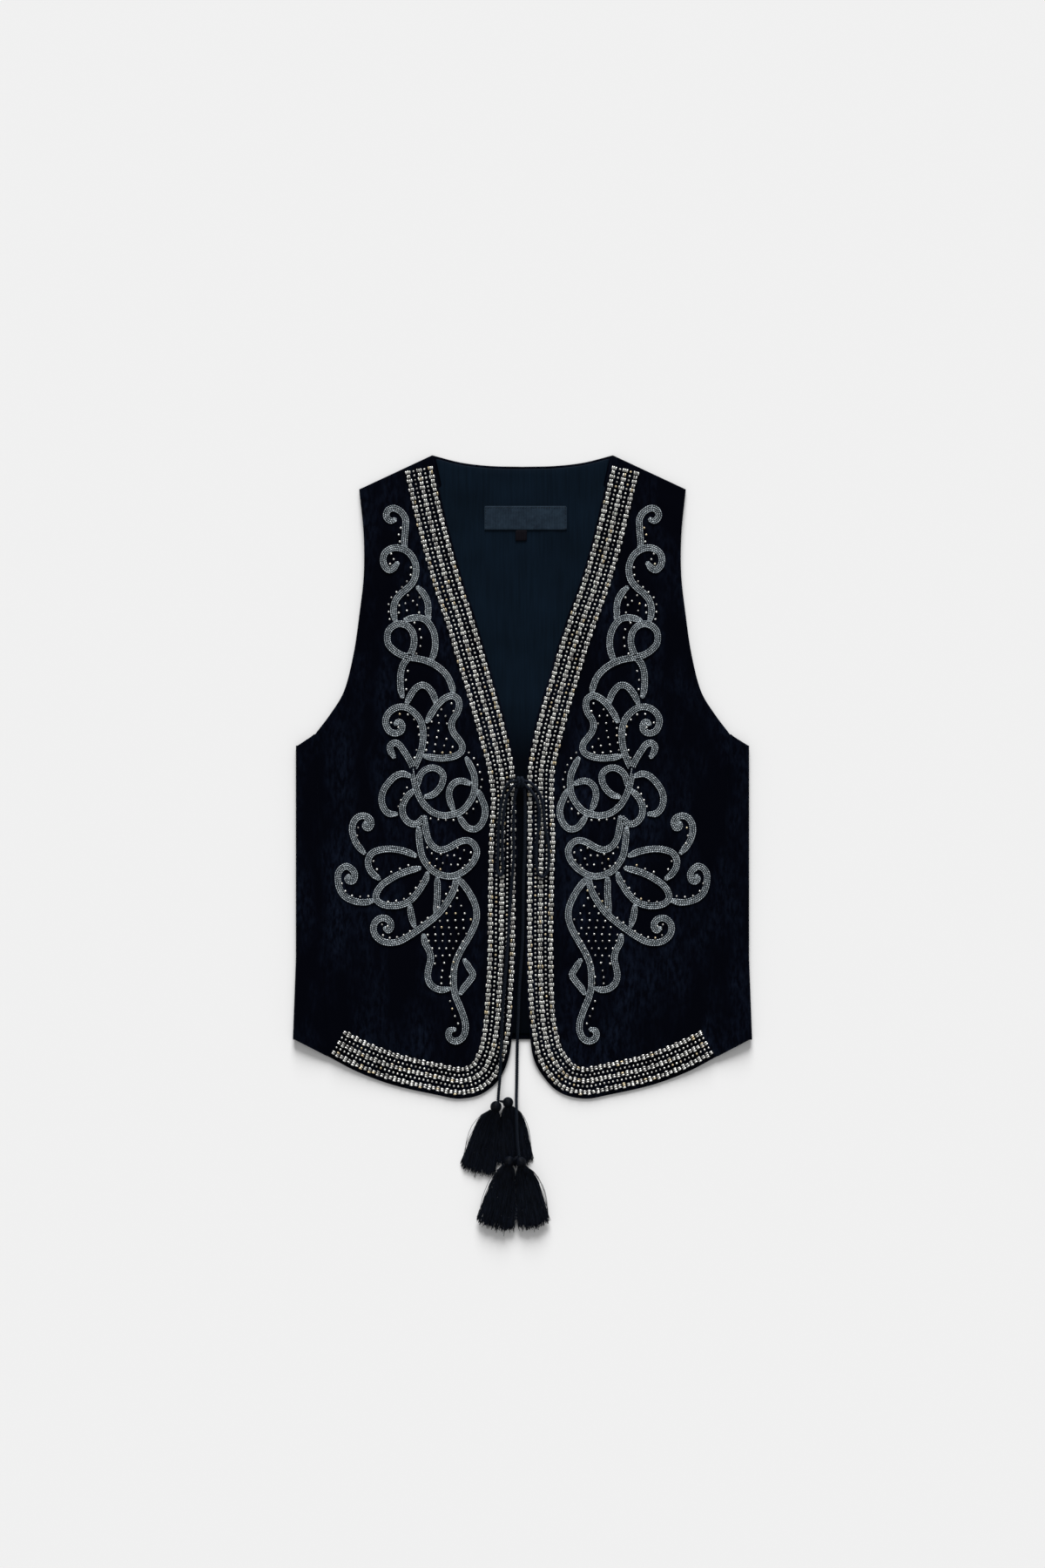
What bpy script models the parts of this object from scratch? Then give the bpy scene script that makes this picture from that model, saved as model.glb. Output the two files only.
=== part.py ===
"""Embroidered folk vest, laid flat on its back.

Velvet fronts, side pieces and back, a satin back lining, three rows of sewn beads along each
front, raised cord scrolls, and a cord tie whose two free ends carry two tassels each.
+X is the right of the laid vest, +Y its neck and +Z up. Sizes here are in millimetres, and
`metres` turns them into the scene's units. Most tables measure x outwards from the middle.
"""

import math

import bmesh
import bpy
from mathutils import Vector
from mathutils.geometry import delaunay_2d_cdt

MM = 0.001

# The cloth, from the table up
SHELL_THICKNESS = 1.6
LINING_THICKNESS = 1.0
FRONT_THICKNESS = 2.0
SEAM_GAP = 0.3
LINING_UNDERSIDE = SHELL_THICKNESS + SEAM_GAP
FRONT_UNDERSIDE = LINING_UNDERSIDE + LINING_THICKNESS + SEAM_GAP
FOLD_RADIUS = 3.6
FLAT_GRID = 46.0
FRONT_GRID = 18.0
RAMP_GRID = 8.0

# Where the fronts come down: to the back at the shoulder seam, to the table past the back's hem
SHOULDER_RAMP = 30.0
SHOULDER_FROM_X = 80.0
BACK_HEM_Y = -258.9
HEM_RAMP_START = -262.0
HEM_RAMP_END = -304.0

# How far the lining stays inside the back: at the neck's velvet edge, and elsewhere
NECK_EDGE = 2.5
LINING_INSET = 6.0
SHOULDER_INSET = 26.0
LINING_NECK_CORNER = [(84, 292), (78.5, 292), (84.5, 313.2)]

# What is sewn on the fronts
TRIM_GAP = 0.45
TAPE_THICKNESS = 1.0
LABEL_X = (-37.6, 43.7)
LABEL_Y = (243.8, 267.3)
TAB_X = (-6.9, 4.3)
TAB_Y = (233.1, 243.5)
BEAD_ROW_WIDTH = 5.7
BEAD_ROW_HEIGHT = 1.6
HEM_EXTRA = 1.8
HEM_EXTRA_FROM = -230.0
HEM_EXTRA_RUN = 60.0
ROW_START = 12
ROW_END = 4
SCROLL_WIDTH = 7.0
SCROLL_HEIGHT = 1.2
SHAPE_REACH = 30.0

# The tie
CORD_DIAMETER = 3.4
CORD_STEP = 10.0

# Outline of the cloth: each row is (outwards, up the vest)
NECK_POINT = (89.0, 317.5)
SHOULDER_TIP = (161.2, 283.8)
ARMHOLE = [
    SHOULDER_TIP, (156.8, 240), (156.6, 200), (161, 160), (167, 120), (176.7, 83.4), (189, 63),
    (204.7, 42.1),
]
SIDE_SEAM = [(204.7, 42.1), (199.5, -76), (198.6, -145), (192.6, -275.2)]
HEM = [(63.6, -317.5), (86, -313.5), (129, -303.6), (163.4, -290.7), (192.6, -275.2)]
BACK_NECK = [(0, 306.2), (32, 307), (60.5, 310.3), NECK_POINT]
FOLD_LINE = [(223.6, 31), (223.6, -179), (226.6, BACK_HEM_Y)]
ARMPIT_Y = ARMHOLE[-1][1]
FOLD_TOP_Y = FOLD_LINE[0][1]
SIDE_HEM_Y = SIDE_SEAM[-1][1]

# The two edges of the front opening differ a little: each row is (up the vest, left, right)
OPENING = [
    (280, 81.3, 79.9),
    (250, 74.0, 72.8),
    (220, 66.2, 65.0),
    (190, 57.4, 55.8),
    (160, 47.4, 44.9),
    (130, 38.4, 34.9),
    (100, 29.5, 26.0),
    (70, 20.8, 17.0),
    (40, 12.8, 9.4),
    (10, 6.6, 3.8),
    (-20, 5.2, 3.1),
    (-60, 4.8, 2.9),
    (-140, 5.3, 2.9),
    (-180, 5.9, 3.2),
    (-220, 8.0, 4.6),
    (-250, 9.8, 6.9),
    (-274, 12.9, 10.0),
    (-287, 17.2, 15.0),
    (-299, 23.5, 23.2),
    (-308, 32.7, 31.8),
    (-314.5, 44.0, 44.0),
]

# Bead rows: the distance of each row's middle from the front edge
BEAD_ROWS = {"outer": 4.5, "middle": 15.8, "inner": 27.1}

# The knot draws the rows closer to the edge: each row is (up the vest, share left, right)
ROW_SHARES = [
    (40, 1.0, 0.99),
    (10, 0.94, 0.95),
    (-20, 0.86, 0.94),
    (-60, 0.95, 1.0),
    (-100, 0.97, 0.955),
    (-140, 0.975, 0.925),
    (-180, 0.965, 0.91),
    (-245, 0.975, 0.89),
    (-290, 1.0, 1.0),
]

# The scroll drawing: middle lines of the raised bands on one front, each row (outwards, up)
STROKES = {
    "top_curl": [
        (126, 253.5), (129.5, 252.5), (133, 254.5), (134.5, 258.5), (132, 263.5), (127, 265),
        (120, 261.5), (115.5, 254.5), (115.5, 246), (116, 238), (116.5, 231), (115.5, 226),
    ],
    "second_curl": [
        (123.5, 210.5), (126.5, 206.5), (131, 204), (135.5, 207), (137.5, 213.5), (136, 220),
        (131, 224.5), (124.5, 226), (117.5, 224.5), (111.5, 220.5), (107, 214), (105, 206.5),
        (105.5, 198.5), (108.5, 191.5), (113.5, 186), (119.5, 181), (124.5, 175), (127, 168),
        (127, 161), (125.5, 154),
    ],
    "upper_petal": [(103, 186.5), (98.5, 182), (94.5, 175), (93, 167.5), (93, 160), (92, 157)],
    "pretzel_arch": [
        (116, 154.5), (109.5, 156.5), (102, 157), (95.5, 154.5), (90, 148), (87, 140.5),
        (86, 132), (87, 123.5), (90, 115),
    ],
    "pretzel": [
        (118.5, 79.5), (120, 86), (120.5, 94.5), (120, 103), (117.5, 111), (113.5, 116.5),
        (110, 122), (107.5, 129), (107, 137), (109.5, 144.5), (114, 149), (120.5, 151),
        (127, 149), (132, 144), (133.5, 137), (132, 130.5), (127, 125), (120, 120.5),
        (111.5, 118), (103, 116.5), (95, 114.5), (85.5, 110), (77, 103), (72, 95.5),
        (69, 86.5), (68.5, 83),
    ],
    "pretzel_foot": [
        (114, 73), (111, 79.5), (107.5, 85), (102.5, 89.5), (97.5, 90.5), (92.5, 87.5),
        (88, 81), (85.5, 73),
    ],
    "waist_curl": [
        (125, 52.5), (122.5, 54.5), (119, 52), (119.5, 46), (125, 43), (131.5, 45.5),
        (135, 53), (134, 60), (128, 66.5), (121, 69), (113.5, 68), (107, 63.5),
        (101.5, 57), (98.5, 48.5), (98, 39), (99, 30), (101, 22.5), (104.5, 14), (107.5, 6.5),
    ],
    "heart_leaf": [
        (94, 55), (89.5, 63), (83.5, 71.5), (76, 78), (69.5, 80), (64, 77), (62.5, 70.5),
        (64.5, 63), (69, 56), (70, 49.5), (68, 43.5), (63, 37), (59.5, 31), (60, 25.5),
        (64.5, 21.5), (73, 19), (82.5, 18.5), (91.5, 19.5), (96.5, 20.5),
    ],
    "waist_hook": [
        (127, 20), (130, 25.5), (130.5, 30.5), (126.5, 33.5), (122, 32), (117, 25.5),
        (112, 17.5), (108, 9), (106.5, 2),
    ],
    "great_ring": [
        (109, 11), (107.5, 0), (105, -11), (101, -21), (95.5, -29), (88, -35), (78.5, -38),
        (69, -37), (60, -33.5), (53, -26), (48.5, -17.5), (47, -7.5), (48, 2.5), (51.5, 11),
        (55, 18),
    ],
    "outer_ring": [
        (111.5, 1), (118, 3), (125, 1), (131.5, -5), (137, -13), (139, -22), (137, -30.5),
        (132, -36), (125, -36.5),
    ],
    "lower_ring": [
        (107.5, -13.5), (112.5, -18), (117, -25), (118.5, -33), (116, -41), (110, -46),
        (104, -46), (99, -41.5), (95.5, -37.5),
    ],
    "inner_ring": [
        (95, -19.5), (88.5, -17.5), (82.5, -12), (79, -5.5), (78.5, 2.5), (82.5, 7), (89, 9),
        (96.5, 6.5), (101, 1.5), (103, -4.5), (104.5, -10.5),
    ],
    "front_ring": [
        (52, -6.5), (60, -4), (66.5, -5.5), (71, -10.5), (72.5, -17.5), (71, -25), (68.5, -32),
    ],
    "front_hook": [
        (43.5, -14), (40, -22), (37, -30.5), (37.5, -39.5), (41, -47), (47, -51.5), (54, -50),
        (59, -44.5), (62.5, -39),
    ],
    "kidney_leaf": [
        (102.5, -51), (102, -60), (101, -69), (99, -78), (94.5, -86), (88.5, -92.5),
        (80.5, -96.5), (71, -98), (61.5, -95), (53, -89), (47, -81), (45, -73.5), (47.5, -67),
        (53, -63), (59, -63), (66, -66), (73, -70), (81, -72), (87.5, -69), (92.5, -62.5),
        (95, -54), (96.5, -45), (96.5, -40),
    ],
    "upper_side_petal": [
        (106, -77.5), (112.5, -74.5), (121.5, -72), (131.5, -71), (140.5, -72), (148, -75),
        (152, -81), (151.5, -89), (147.5, -95.5), (142, -100),
    ],
    "lower_side_petal": [
        (102, -90), (110.5, -92), (120.5, -95.5), (130, -100.5), (138.5, -106.5),
        (143.5, -113.5), (144.5, -120), (139.5, -125), (131, -127), (121.5, -126.5),
        (112.5, -123), (105, -116), (99.5, -108), (95.5, -101), (94, -95.5),
    ],
    "side_curl_top": [
        (155, -45.5), (155.5, -48.5), (152, -50.5), (149.5, -47), (150.5, -41.5), (156, -38.5),
        (162, -39.5), (166.5, -44.5), (168, -51.5), (166.5, -59.5), (162.5, -67.5),
        (156.5, -74.5),
    ],
    "side_curl_middle": [
        (171.5, -98), (173, -100.5), (170, -103), (167, -102), (165.5, -98.5), (166, -94),
        (169.5, -90), (173.5, -88), (178, -90), (181.5, -94.5), (182, -101.5), (181, -108),
        (178.5, -114), (173.5, -119), (167, -122), (160.5, -123.5), (154, -123.5), (148, -122),
    ],
    "side_curl_low": [
        (135.5, -149.5), (132.5, -151.5), (130, -148.5), (130.5, -143), (135, -139.5),
        (141.5, -140), (146, -144.5), (147, -151), (144, -157.5), (138, -162), (130, -163.5),
        (121.5, -162), (113, -157.5), (104, -151.5), (95, -145), (87, -138.5), (80, -131.5),
        (75, -124.5), (70, -116), (66.5, -107), (66, -100),
    ],
    "first_bar": [(84, -100), (84, -117), (85.5, -134.5)],
    "second_bar": [(111, -127), (109.5, -137.5), (107, -146.5)],
    "long_leaf_front": [
        (67.5, -249), (71.5, -250), (73, -254.5), (70.5, -259), (65, -260.5), (59.5, -257.5),
        (56.5, -250.5), (56.5, -243), (58.5, -235), (62, -226), (66, -216), (68, -206),
        (68, -196.5), (67, -186.5), (63.5, -176.5), (58.5, -167), (53, -158), (48.5, -149),
        (45.5, -140), (45.5, -131), (47.5, -124), (52, -115), (57.5, -107), (63.5, -100),
    ],
    "long_leaf_side": [
        (97.5, -156.5), (96, -164), (92, -171.5), (90.5, -179.5), (92.5, -188.5),
        (93.5, -196.5), (91, -204), (85.5, -208.5), (79, -210), (73, -209),
    ],
    "leaf_thorn": [(57, -181), (53, -187.5), (49, -195), (53, -202), (57.5, -207.5), (61, -213)],
}

# Soft vertical creases of the fronts: outwards and up at both ends, half width, rise
CREASES = [
    (178, 60, 172, -150, 28, 0.7),
    (146, 262, 138, 120, 28, 0.6),
    (112, -60, 118, -258, 30, 0.6),
    (162, -160, 158, -262, 28, 0.5),
]

NAVY_VELVET = (0.006, 0.008, 0.022)
PETROL_SATIN = (0.012, 0.028, 0.045)
SILVER_BEAD = (0.55, 0.53, 0.50)
SILVER_CORD = (0.30, 0.32, 0.34)
NAVY_CORD = (0.008, 0.014, 0.030)
TEAL_TAPE = (0.035, 0.065, 0.085)


def material(name, colour, roughness, metallic=0.0):
    """A plain finish in the piece's own colour."""
    finish = bpy.data.materials.new(name)
    finish.use_nodes = True
    shader = finish.node_tree.nodes["Principled BSDF"]
    shader.inputs["Base Color"].default_value = (*colour, 1.0)
    shader.inputs["Roughness"].default_value = roughness
    shader.inputs["Metallic"].default_value = metallic
    return finish


def smooth(points, step=1.0):
    """Points about a step apart on a curve that bends softly through the given points."""
    given = [Vector(point) for point in points]
    given = [2 * given[0] - given[1]] + given + [2 * given[-1] - given[-2]]
    curve = []
    for a, b, c, d in zip(given, given[1:], given[2:], given[3:]):
        at_b = (b - a).length ** 0.5
        at_c = at_b + (c - b).length ** 0.5
        at_d = at_c + (d - c).length ** 0.5
        count = max(1, round((c - b).length / step))
        for index in range(count):
            t = at_b + (at_c - at_b) * index / count
            ab = a.lerp(b, t / at_b)
            bc = b.lerp(c, (t - at_b) / (at_c - at_b))
            cd = c.lerp(d, (t - at_c) / (at_d - at_c))
            abc = ab.lerp(bc, t / at_c)
            bcd = bc.lerp(cd, (t - at_b) / (at_d - at_b))
            curve.append(abc.lerp(bcd, (t - at_b) / (at_c - at_b)))
    curve.append(given[-2])
    return curve


def thin(curve, longest, turn):
    """Keep the points that a curve needs: one after a length, or after a turn in degrees."""
    kept = [curve[0]]
    heading = (curve[1] - curve[0]).normalized()
    for before, point in zip(curve, curve[1:-1]):
        now = (point - before).normalized()
        bent = heading.dot(now) < math.cos(math.radians(turn))
        if bent or (point - kept[-1]).length >= longest:
            kept.append(point)
            heading = now
    if (curve[-1] - kept[-1]).length < 0.3 * longest and len(kept) > 1:
        kept.pop()
    return kept + [curve[-1]]


def smoothstep(value):
    """0 below 0, 1 above 1, and an even slope between."""
    value = min(max(value, 0.0), 1.0)
    return value * value * (3 - 2 * value)


def interpolate(table, along, key, value):
    """Read a table's column at a place along another column, straight between its rows."""
    rows = sorted(table, key=lambda row: row[key])
    for low, high in zip(rows, rows[1:]):
        if along <= high[key]:
            share = max(0.0, (along - low[key]) / (high[key] - low[key]))
            return low[value] + share * (high[value] - low[value])
    return rows[-1][value]


def seam_x(y):
    return interpolate(SIDE_SEAM, y, 1, 0)


def fold_x(y):
    return interpolate(FOLD_LINE, y, 1, 0)


def crease_rise(x, y):
    """How far the soft creases lift the cloth at a place."""
    rise = 0.0
    for x_top, y_top, x_low, y_low, half_width, height in CREASES:
        along = (y_top - y) / (y_top - y_low)
        if 0 < along < 1:
            across = abs(abs(x) - (x_top + along * (x_low - x_top))) / half_width
            if across < 1:
                rise += height * math.sin(math.pi * along) * (1 + math.cos(math.pi * across)) / 2
    return rise


def front_under(x, y):
    """Height of the underside of the fronts over the table."""
    run = SHOULDER_TIP[0] - NECK_POINT[0]
    drop = SHOULDER_TIP[1] - NECK_POINT[1]
    shoulder_y = NECK_POINT[1] + (abs(x) - NECK_POINT[0]) * drop / run
    near_shoulder = 0.0
    if abs(x) > SHOULDER_FROM_X:
        near_shoulder = smoothstep(1 - (shoulder_y - y) / SHOULDER_RAMP)
    past_hem = smoothstep((HEM_RAMP_START - y) / (HEM_RAMP_START - HEM_RAMP_END))
    level = FRONT_UNDERSIDE - near_shoulder * (FRONT_UNDERSIDE - LINING_UNDERSIDE)
    return (level + crease_rise(x, y)) * (1 - past_hem)


def trim_under(x, y):
    """Height of the underside of what is sewn on the fronts."""
    return front_under(x, y) + FRONT_THICKNESS + TRIM_GAP


def mirrored(points, side):
    return [(side * point[0], *point[1:]) for point in points]


def metres(x, y, z):
    return Vector((x * MM, y * MM, z * MM))


def add_object(name, mesh, finish, smooth_angle=40):
    """Put a mesh in the scene under its node's name."""
    mesh.materials.append(finish)
    mesh.shade_smooth()
    mesh.set_sharp_from_angle(angle=math.radians(smooth_angle))
    piece = bpy.data.objects.new(name, mesh)
    COLLECTION.objects.link(piece)
    return piece


def wall(name, flat, faces, height, thickness, finish):
    """A cloth wall: a sheet of flat points lifted to a height, given its thickness upwards."""
    mesh = bpy.data.meshes.new(name)
    mesh.from_pydata([metres(x, y, height(x, y)) for x, y in flat], [], faces)
    piece = add_object(name, mesh, finish)
    solidify = piece.modifiers.new("thickness", "SOLIDIFY")
    solidify.thickness = thickness * MM
    solidify.offset = 1.0
    return piece


def inside(point, outline):
    """Whether a point is inside an outline, by counting the edges to its right."""
    crossings = 0
    for a, b in zip(outline, outline[1:] + outline[:1]):
        if (a[1] > point[1]) != (b[1] > point[1]):
            crossings += point[0] < a[0] + (point[1] - a[1]) * (b[0] - a[0]) / (b[1] - a[1])
    return crossings % 2 == 1


def edge_distance(point, outline):
    """Distance from a point to the nearest edge of an outline."""
    place = Vector(point)
    nearest = math.inf
    for a, b in zip(outline, outline[1:] + outline[:1]):
        start, run = Vector(a), Vector(b) - Vector(a)
        share = min(max((place - start).dot(run) / run.length_squared, 0.0), 1.0)
        nearest = min(nearest, (place - start - share * run).length)
    return nearest


def grid_rows(low, high, grid):
    """Heights of the rows of points inside a panel, close together where the hem comes down."""
    rows = []
    y = high - grid / 2
    while y > low:
        rows.append(y)
        y -= RAMP_GRID if grid == FRONT_GRID and y <= HEM_RAMP_START + grid else grid
    return rows


def panel(name, outline, grid, height, thickness, finish):
    """A cut piece of cloth: its outline filled with an even grid of points."""
    outline = [tuple(point) for point in outline]
    xs = [point[0] for point in outline]
    ys = [point[1] for point in outline]
    points = list(outline)
    for number, y in enumerate(grid_rows(min(ys), max(ys), grid)):
        x = min(xs) + grid * (0.25 + 0.5 * (number % 2))
        while x < max(xs):
            if inside((x, y), outline) and edge_distance((x, y), outline) > 0.35 * grid:
                points.append((x, y))
            x += grid
    loop = [list(range(len(outline)))]
    flat, _, faces, *_ = delaunay_2d_cdt([Vector(point) for point in points], [], loop, 1, 0.0001)
    return wall(name, [tuple(point) for point in flat], faces, height, thickness, finish)


def opening_edge(side):
    """The finished edge of a front, from the neck point round the low corner to the side seam."""
    column = 1 if side < 0 else 2
    rows = [NECK_POINT] + [(row[column], row[0]) for row in OPENING] + HEM
    return smooth(mirrored(rows, side))


def counter_clockwise(outline):
    area = sum(a[0] * b[1] - b[0] * a[1] for a, b in zip(outline, outline[1:] + outline[:1]))
    return outline if area > 0 else outline[::-1]


def front_outline(side):
    """Opening edge, hem, side seam, armhole and shoulder of one front."""
    edge = thin(opening_edge(side), 16, 12)
    seam = thin(smooth(mirrored(SIDE_SEAM[::-1], side)), 20, 12)
    armhole = thin(smooth(mirrored(ARMHOLE[::-1], side)), 16, 12)
    neck, tip = (Vector(point) for point in mirrored([NECK_POINT, SHOULDER_TIP], side))
    shoulder = [neck.lerp(tip, share) for share in (0.75, 0.5, 0.25)]
    return counter_clockwise(edge[:-1] + seam[:-1] + armhole + shoulder)


def back_outline():
    """The back, drawn from the middle of the neck to the middle of the hem and mirrored."""
    armhole = thin(smooth(ARMHOLE), 16, 12)
    seam = [Vector((seam_x(y), y)) for y in range(20, int(BACK_HEM_Y), -20)]
    hem = [Vector((seam_x(BACK_HEM_Y), BACK_HEM_Y))]
    hem += [Vector((x, BACK_HEM_Y)) for x in range(176, -1, -16)]
    half = thin(smooth(BACK_NECK), 18, 10) + armhole + seam + hem
    other = [Vector((-point.x, point.y)) for point in half[1:-1]]
    return counter_clockwise(half + other[::-1])


def lining_outline():
    """The back's outline moved in: little at the neck, clear of the seams elsewhere, and cut
    back from the shoulders, where it keeps to the V between the fronts."""
    outline = back_outline()
    moved = []
    for before, point, after in zip(outline[-1:] + outline[:-1], outline, outline[1:] + outline[:1]):
        run = (after - before).normalized()
        place = Vector((abs(point.x), point.y))
        from_neck = (place - Vector(NECK_POINT)).length
        if from_neck < SEAM_GAP:
            side = 1 if point.x > 0 else -1
            corners = [Vector((side * x, y)) for x, y in LINING_NECK_CORNER]
            moved += corners[::side]
        elif min(from_neck, (place - Vector(SHOULDER_TIP)).length) > SHOULDER_INSET:
            inset = NECK_EDGE if point.y > SHOULDER_TIP[1] else LINING_INSET
            moved.append(point + Vector((-run.y, run.x)) * inset)
    return moved


def side_panel(name, side, finish):
    """The narrow side piece: a long C that folds round from the back's seam to the front's."""
    # Shares of the length, closer together where the hem comes down
    rows = [0, 0.08, 0.18, 0.28, 0.38, 0.48, 0.58, 0.68, 0.78, 0.88, 0.93, 0.965, 1.0]
    legs = [0.0, 0.5, 1.0]
    fold_angles = [30, 60, 90, 120, 150]
    points = []
    for share in rows:
        # Along the underside from the back's seam, round the fold, and back along the top
        for across in legs:
            top = ARMPIT_Y + across * (FOLD_TOP_Y - ARMPIT_Y)
            y = top + share * (BACK_HEM_Y - top)
            start = seam_x(y) + SEAM_GAP
            points.append((start + across * (fold_x(y) - FOLD_RADIUS - start), y, 0.0))
        y = FOLD_TOP_Y + share * (BACK_HEM_Y - FOLD_TOP_Y)
        for angle in fold_angles:
            turn = math.radians(angle)
            out = fold_x(y) - FOLD_RADIUS + FOLD_RADIUS * math.sin(turn)
            points.append((out, y, FOLD_RADIUS * (1 - math.cos(turn))))
        for across in legs[::-1]:
            top = ARMPIT_Y + across * (FOLD_TOP_Y - ARMPIT_Y)
            low = SIDE_HEM_Y + across * (BACK_HEM_Y - SIDE_HEM_Y)
            y = top + share * (low - top)
            start = seam_x(y) + SEAM_GAP
            x = start + across * (fold_x(y) - FOLD_RADIUS - start)
            at_seam = front_under(x, y) + FRONT_THICKNESS
            points.append((x, y, at_seam + smoothstep(across) * (2 * FOLD_RADIUS - at_seam)))
    width = 2 * len(legs) + len(fold_angles)
    faces = []
    for row in range(len(rows) - 1):
        for column in range(width - 1):
            a = row * width + column
            faces.append((a, a + 1, a + width + 1, a + width)[::side])
    mesh = bpy.data.meshes.new(name)
    mesh.from_pydata([metres(side * x, y, z) for x, y, z in points], [], faces)
    piece = add_object(name, mesh, finish)
    solidify = piece.modifiers.new("thickness", "SOLIDIFY")
    solidify.thickness = FRONT_THICKNESS * MM
    solidify.offset = -1.0
    return piece


def normals_along(curve):
    """The direction to the left of a curve at each of its points."""
    directions = []
    for index in range(len(curve)):
        before = curve[max(index - 1, 0)]
        after = curve[min(index + 1, len(curve) - 1)]
        run = (after - before).normalized()
        directions.append(Vector((-run.y, run.x)))
    return directions


def bead_row(name, side, distance, finish):
    """One row of sewn beads as a raised strip, at its distance from the finished edge."""
    edge = opening_edge(side)[ROW_START:-ROW_END]
    column = 1 if side < 0 else 2
    middle = []
    for point, normal in zip(edge, normals_along(edge)):
        extra = HEM_EXTRA * smoothstep((HEM_EXTRA_FROM - point.y) / HEM_EXTRA_RUN)
        share = interpolate(ROW_SHARES, point.y, 0, column)
        middle.append(point + normal * side * (distance * share + extra))
    middle = thin(middle, 18, 12)
    flat, faces = [], []
    for index, (point, normal) in enumerate(zip(middle, normals_along(middle))):
        flat.append(tuple(point + normal * BEAD_ROW_WIDTH / 2))
        flat.append(tuple(point - normal * BEAD_ROW_WIDTH / 2))
        if index:
            a = 2 * index
            faces.append((a - 2, a - 1, a + 1, a))
    return wall(name, flat, faces, trim_under, BEAD_ROW_HEIGHT, finish)


def covered(triangle, shapes):
    """Whether the middle of a triangle lies in one of the shapes."""
    middle = sum(triangle, Vector((0, 0))) / 3
    near = [shape for shape in shapes if (shape[0] - middle).length < SHAPE_REACH]
    return any(inside(middle, shape) for shape in near)


def run_on(curve, length):
    """A curve that runs on straight by a length at both ends, so that it meets its neighbours."""
    start = curve[0] + (curve[0] - curve[1]).normalized() * length
    end = curve[-1] + (curve[-1] - curve[-2]).normalized() * length
    return [start] + curve + [end]


def scroll(name, side, finish):
    """All strokes of one front laid over each other and joined to one flat pierced piece."""
    points, quads = [], []
    for stroke in STROKES.values():
        curve = run_on(smooth(mirrored(stroke, side)), SCROLL_WIDTH / 2)
        curve = thin(curve, 18, 38)
        for index, (point, normal) in enumerate(zip(curve, normals_along(curve))):
            points.append(point + normal * SCROLL_WIDTH / 2)
            points.append(point - normal * SCROLL_WIDTH / 2)
            if index:
                a = len(points) - 2
                quads.append([a - 2, a - 1, a + 1, a])
    flat, _, faces, *_ = delaunay_2d_cdt(points, [], quads, 0, 0.001)
    corners = [[points[index] for index in quad] for quad in quads]
    kept = [face for face in faces if covered([flat[index] for index in face], corners)]
    used = sorted({index for face in kept for index in face})
    renumbered = {index: place for place, index in enumerate(used)}
    faces = [[renumbered[index] for index in face] for face in kept]
    return wall(name, [tuple(flat[index]) for index in used], faces, trim_under, SCROLL_HEIGHT, finish)


def tube(name, route, finish):
    """A round cord along a smooth route, closed at both ends."""
    data = bpy.data.curves.new(name, "CURVE")
    data.dimensions = "3D"
    data.bevel_depth = CORD_DIAMETER / 2 * MM
    data.bevel_resolution = 2
    data.use_fill_caps = True
    spline = data.splines.new("POLY")
    points = smooth(route, CORD_STEP)
    spline.points.add(len(points) - 1)
    for spline_point, point in zip(spline.points, points):
        spline_point.co = (*metres(*point), 1.0)
    data.materials.append(finish)
    piece = bpy.data.objects.new(name, data)
    COLLECTION.objects.link(piece)
    return piece


# Routes of the tie, each row (x, y, height of the cord's middle)
TIE_KNOT = (-2.4, -5.0, 11.4)
TIE_KNOT_HALF = (7.0, 6.0, 4.2)
LOOP_LEFT = [
    (-10.7, -3.9, 11.6), (-13.9, -6.2, 11.4), (-18.0, -13.0, 10.6), (-20.6, -24, 9.6),
    (-22.4, -36, 9.4), (-23.7, -50, 9.4), (-24.1, -66, 9.4), (-24.3, -80, 9.4),
    (-24.9, -89, 9.4), (-24.0, -95, 9.4), (-22.0, -97.3, 9.4), (-20.0, -95, 9.4),
    (-19.2, -89, 9.4), (-19.8, -80, 9.4), (-20.0, -64, 9.4), (-19.8, -50, 9.4),
    (-18.5, -36, 9.4), (-16.7, -25, 9.8), (-14.0, -16.2, 10.6), (-10.4, -10.6, 11.4),
    (-9.3, -9.2, 11.6),
]
LOOP_RIGHT = [
    (5.9, -4.7, 11.6), (9.8, -7.6, 11.4), (14.9, -13.6, 10.6), (19.2, -24, 9.6),
    (20.9, -35.8, 9.4), (22.0, -47.3, 9.4), (24.0, -58.8, 9.4), (25.8, -70.3, 9.4),
    (26.2, -81.8, 9.4), (24.7, -92.4, 9.4), (20.6, -98.3, 9.4), (16.4, -96.8, 9.4),
    (13.9, -88, 9.4), (13.4, -76, 9.4), (14.0, -62.7, 9.4), (15.9, -51.1, 9.4),
    (16.9, -39.6, 9.4), (15.6, -28.4, 9.6), (12.4, -19.8, 10.4), (8.0, -13.4, 11.2),
    (3.9, -9.3, 11.5),
]
TAIL_LEFT = [
    (-5.6, -11.6, 11.0), (-7.8, -22, 9.4), (-8.8, -50, 9.2), (-8.8, -80, 9.2), (-10.8, -106, 9.2),
    (-12.4, -130, 9.3), (-14.0, -155, 9.3), (-15.8, -182, 9.3), (-18.4, -215, 9.3),
    (-20.0, -240, 9.3), (-20.8, -262, 9.3), (-21.4, -276, 8.9), (-22.0, -289, 7.5),
    (-22.6, -300, 6.6), (-23.4, -309, 6.3), (-24.1, -319.0, 6.3),
]
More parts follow.
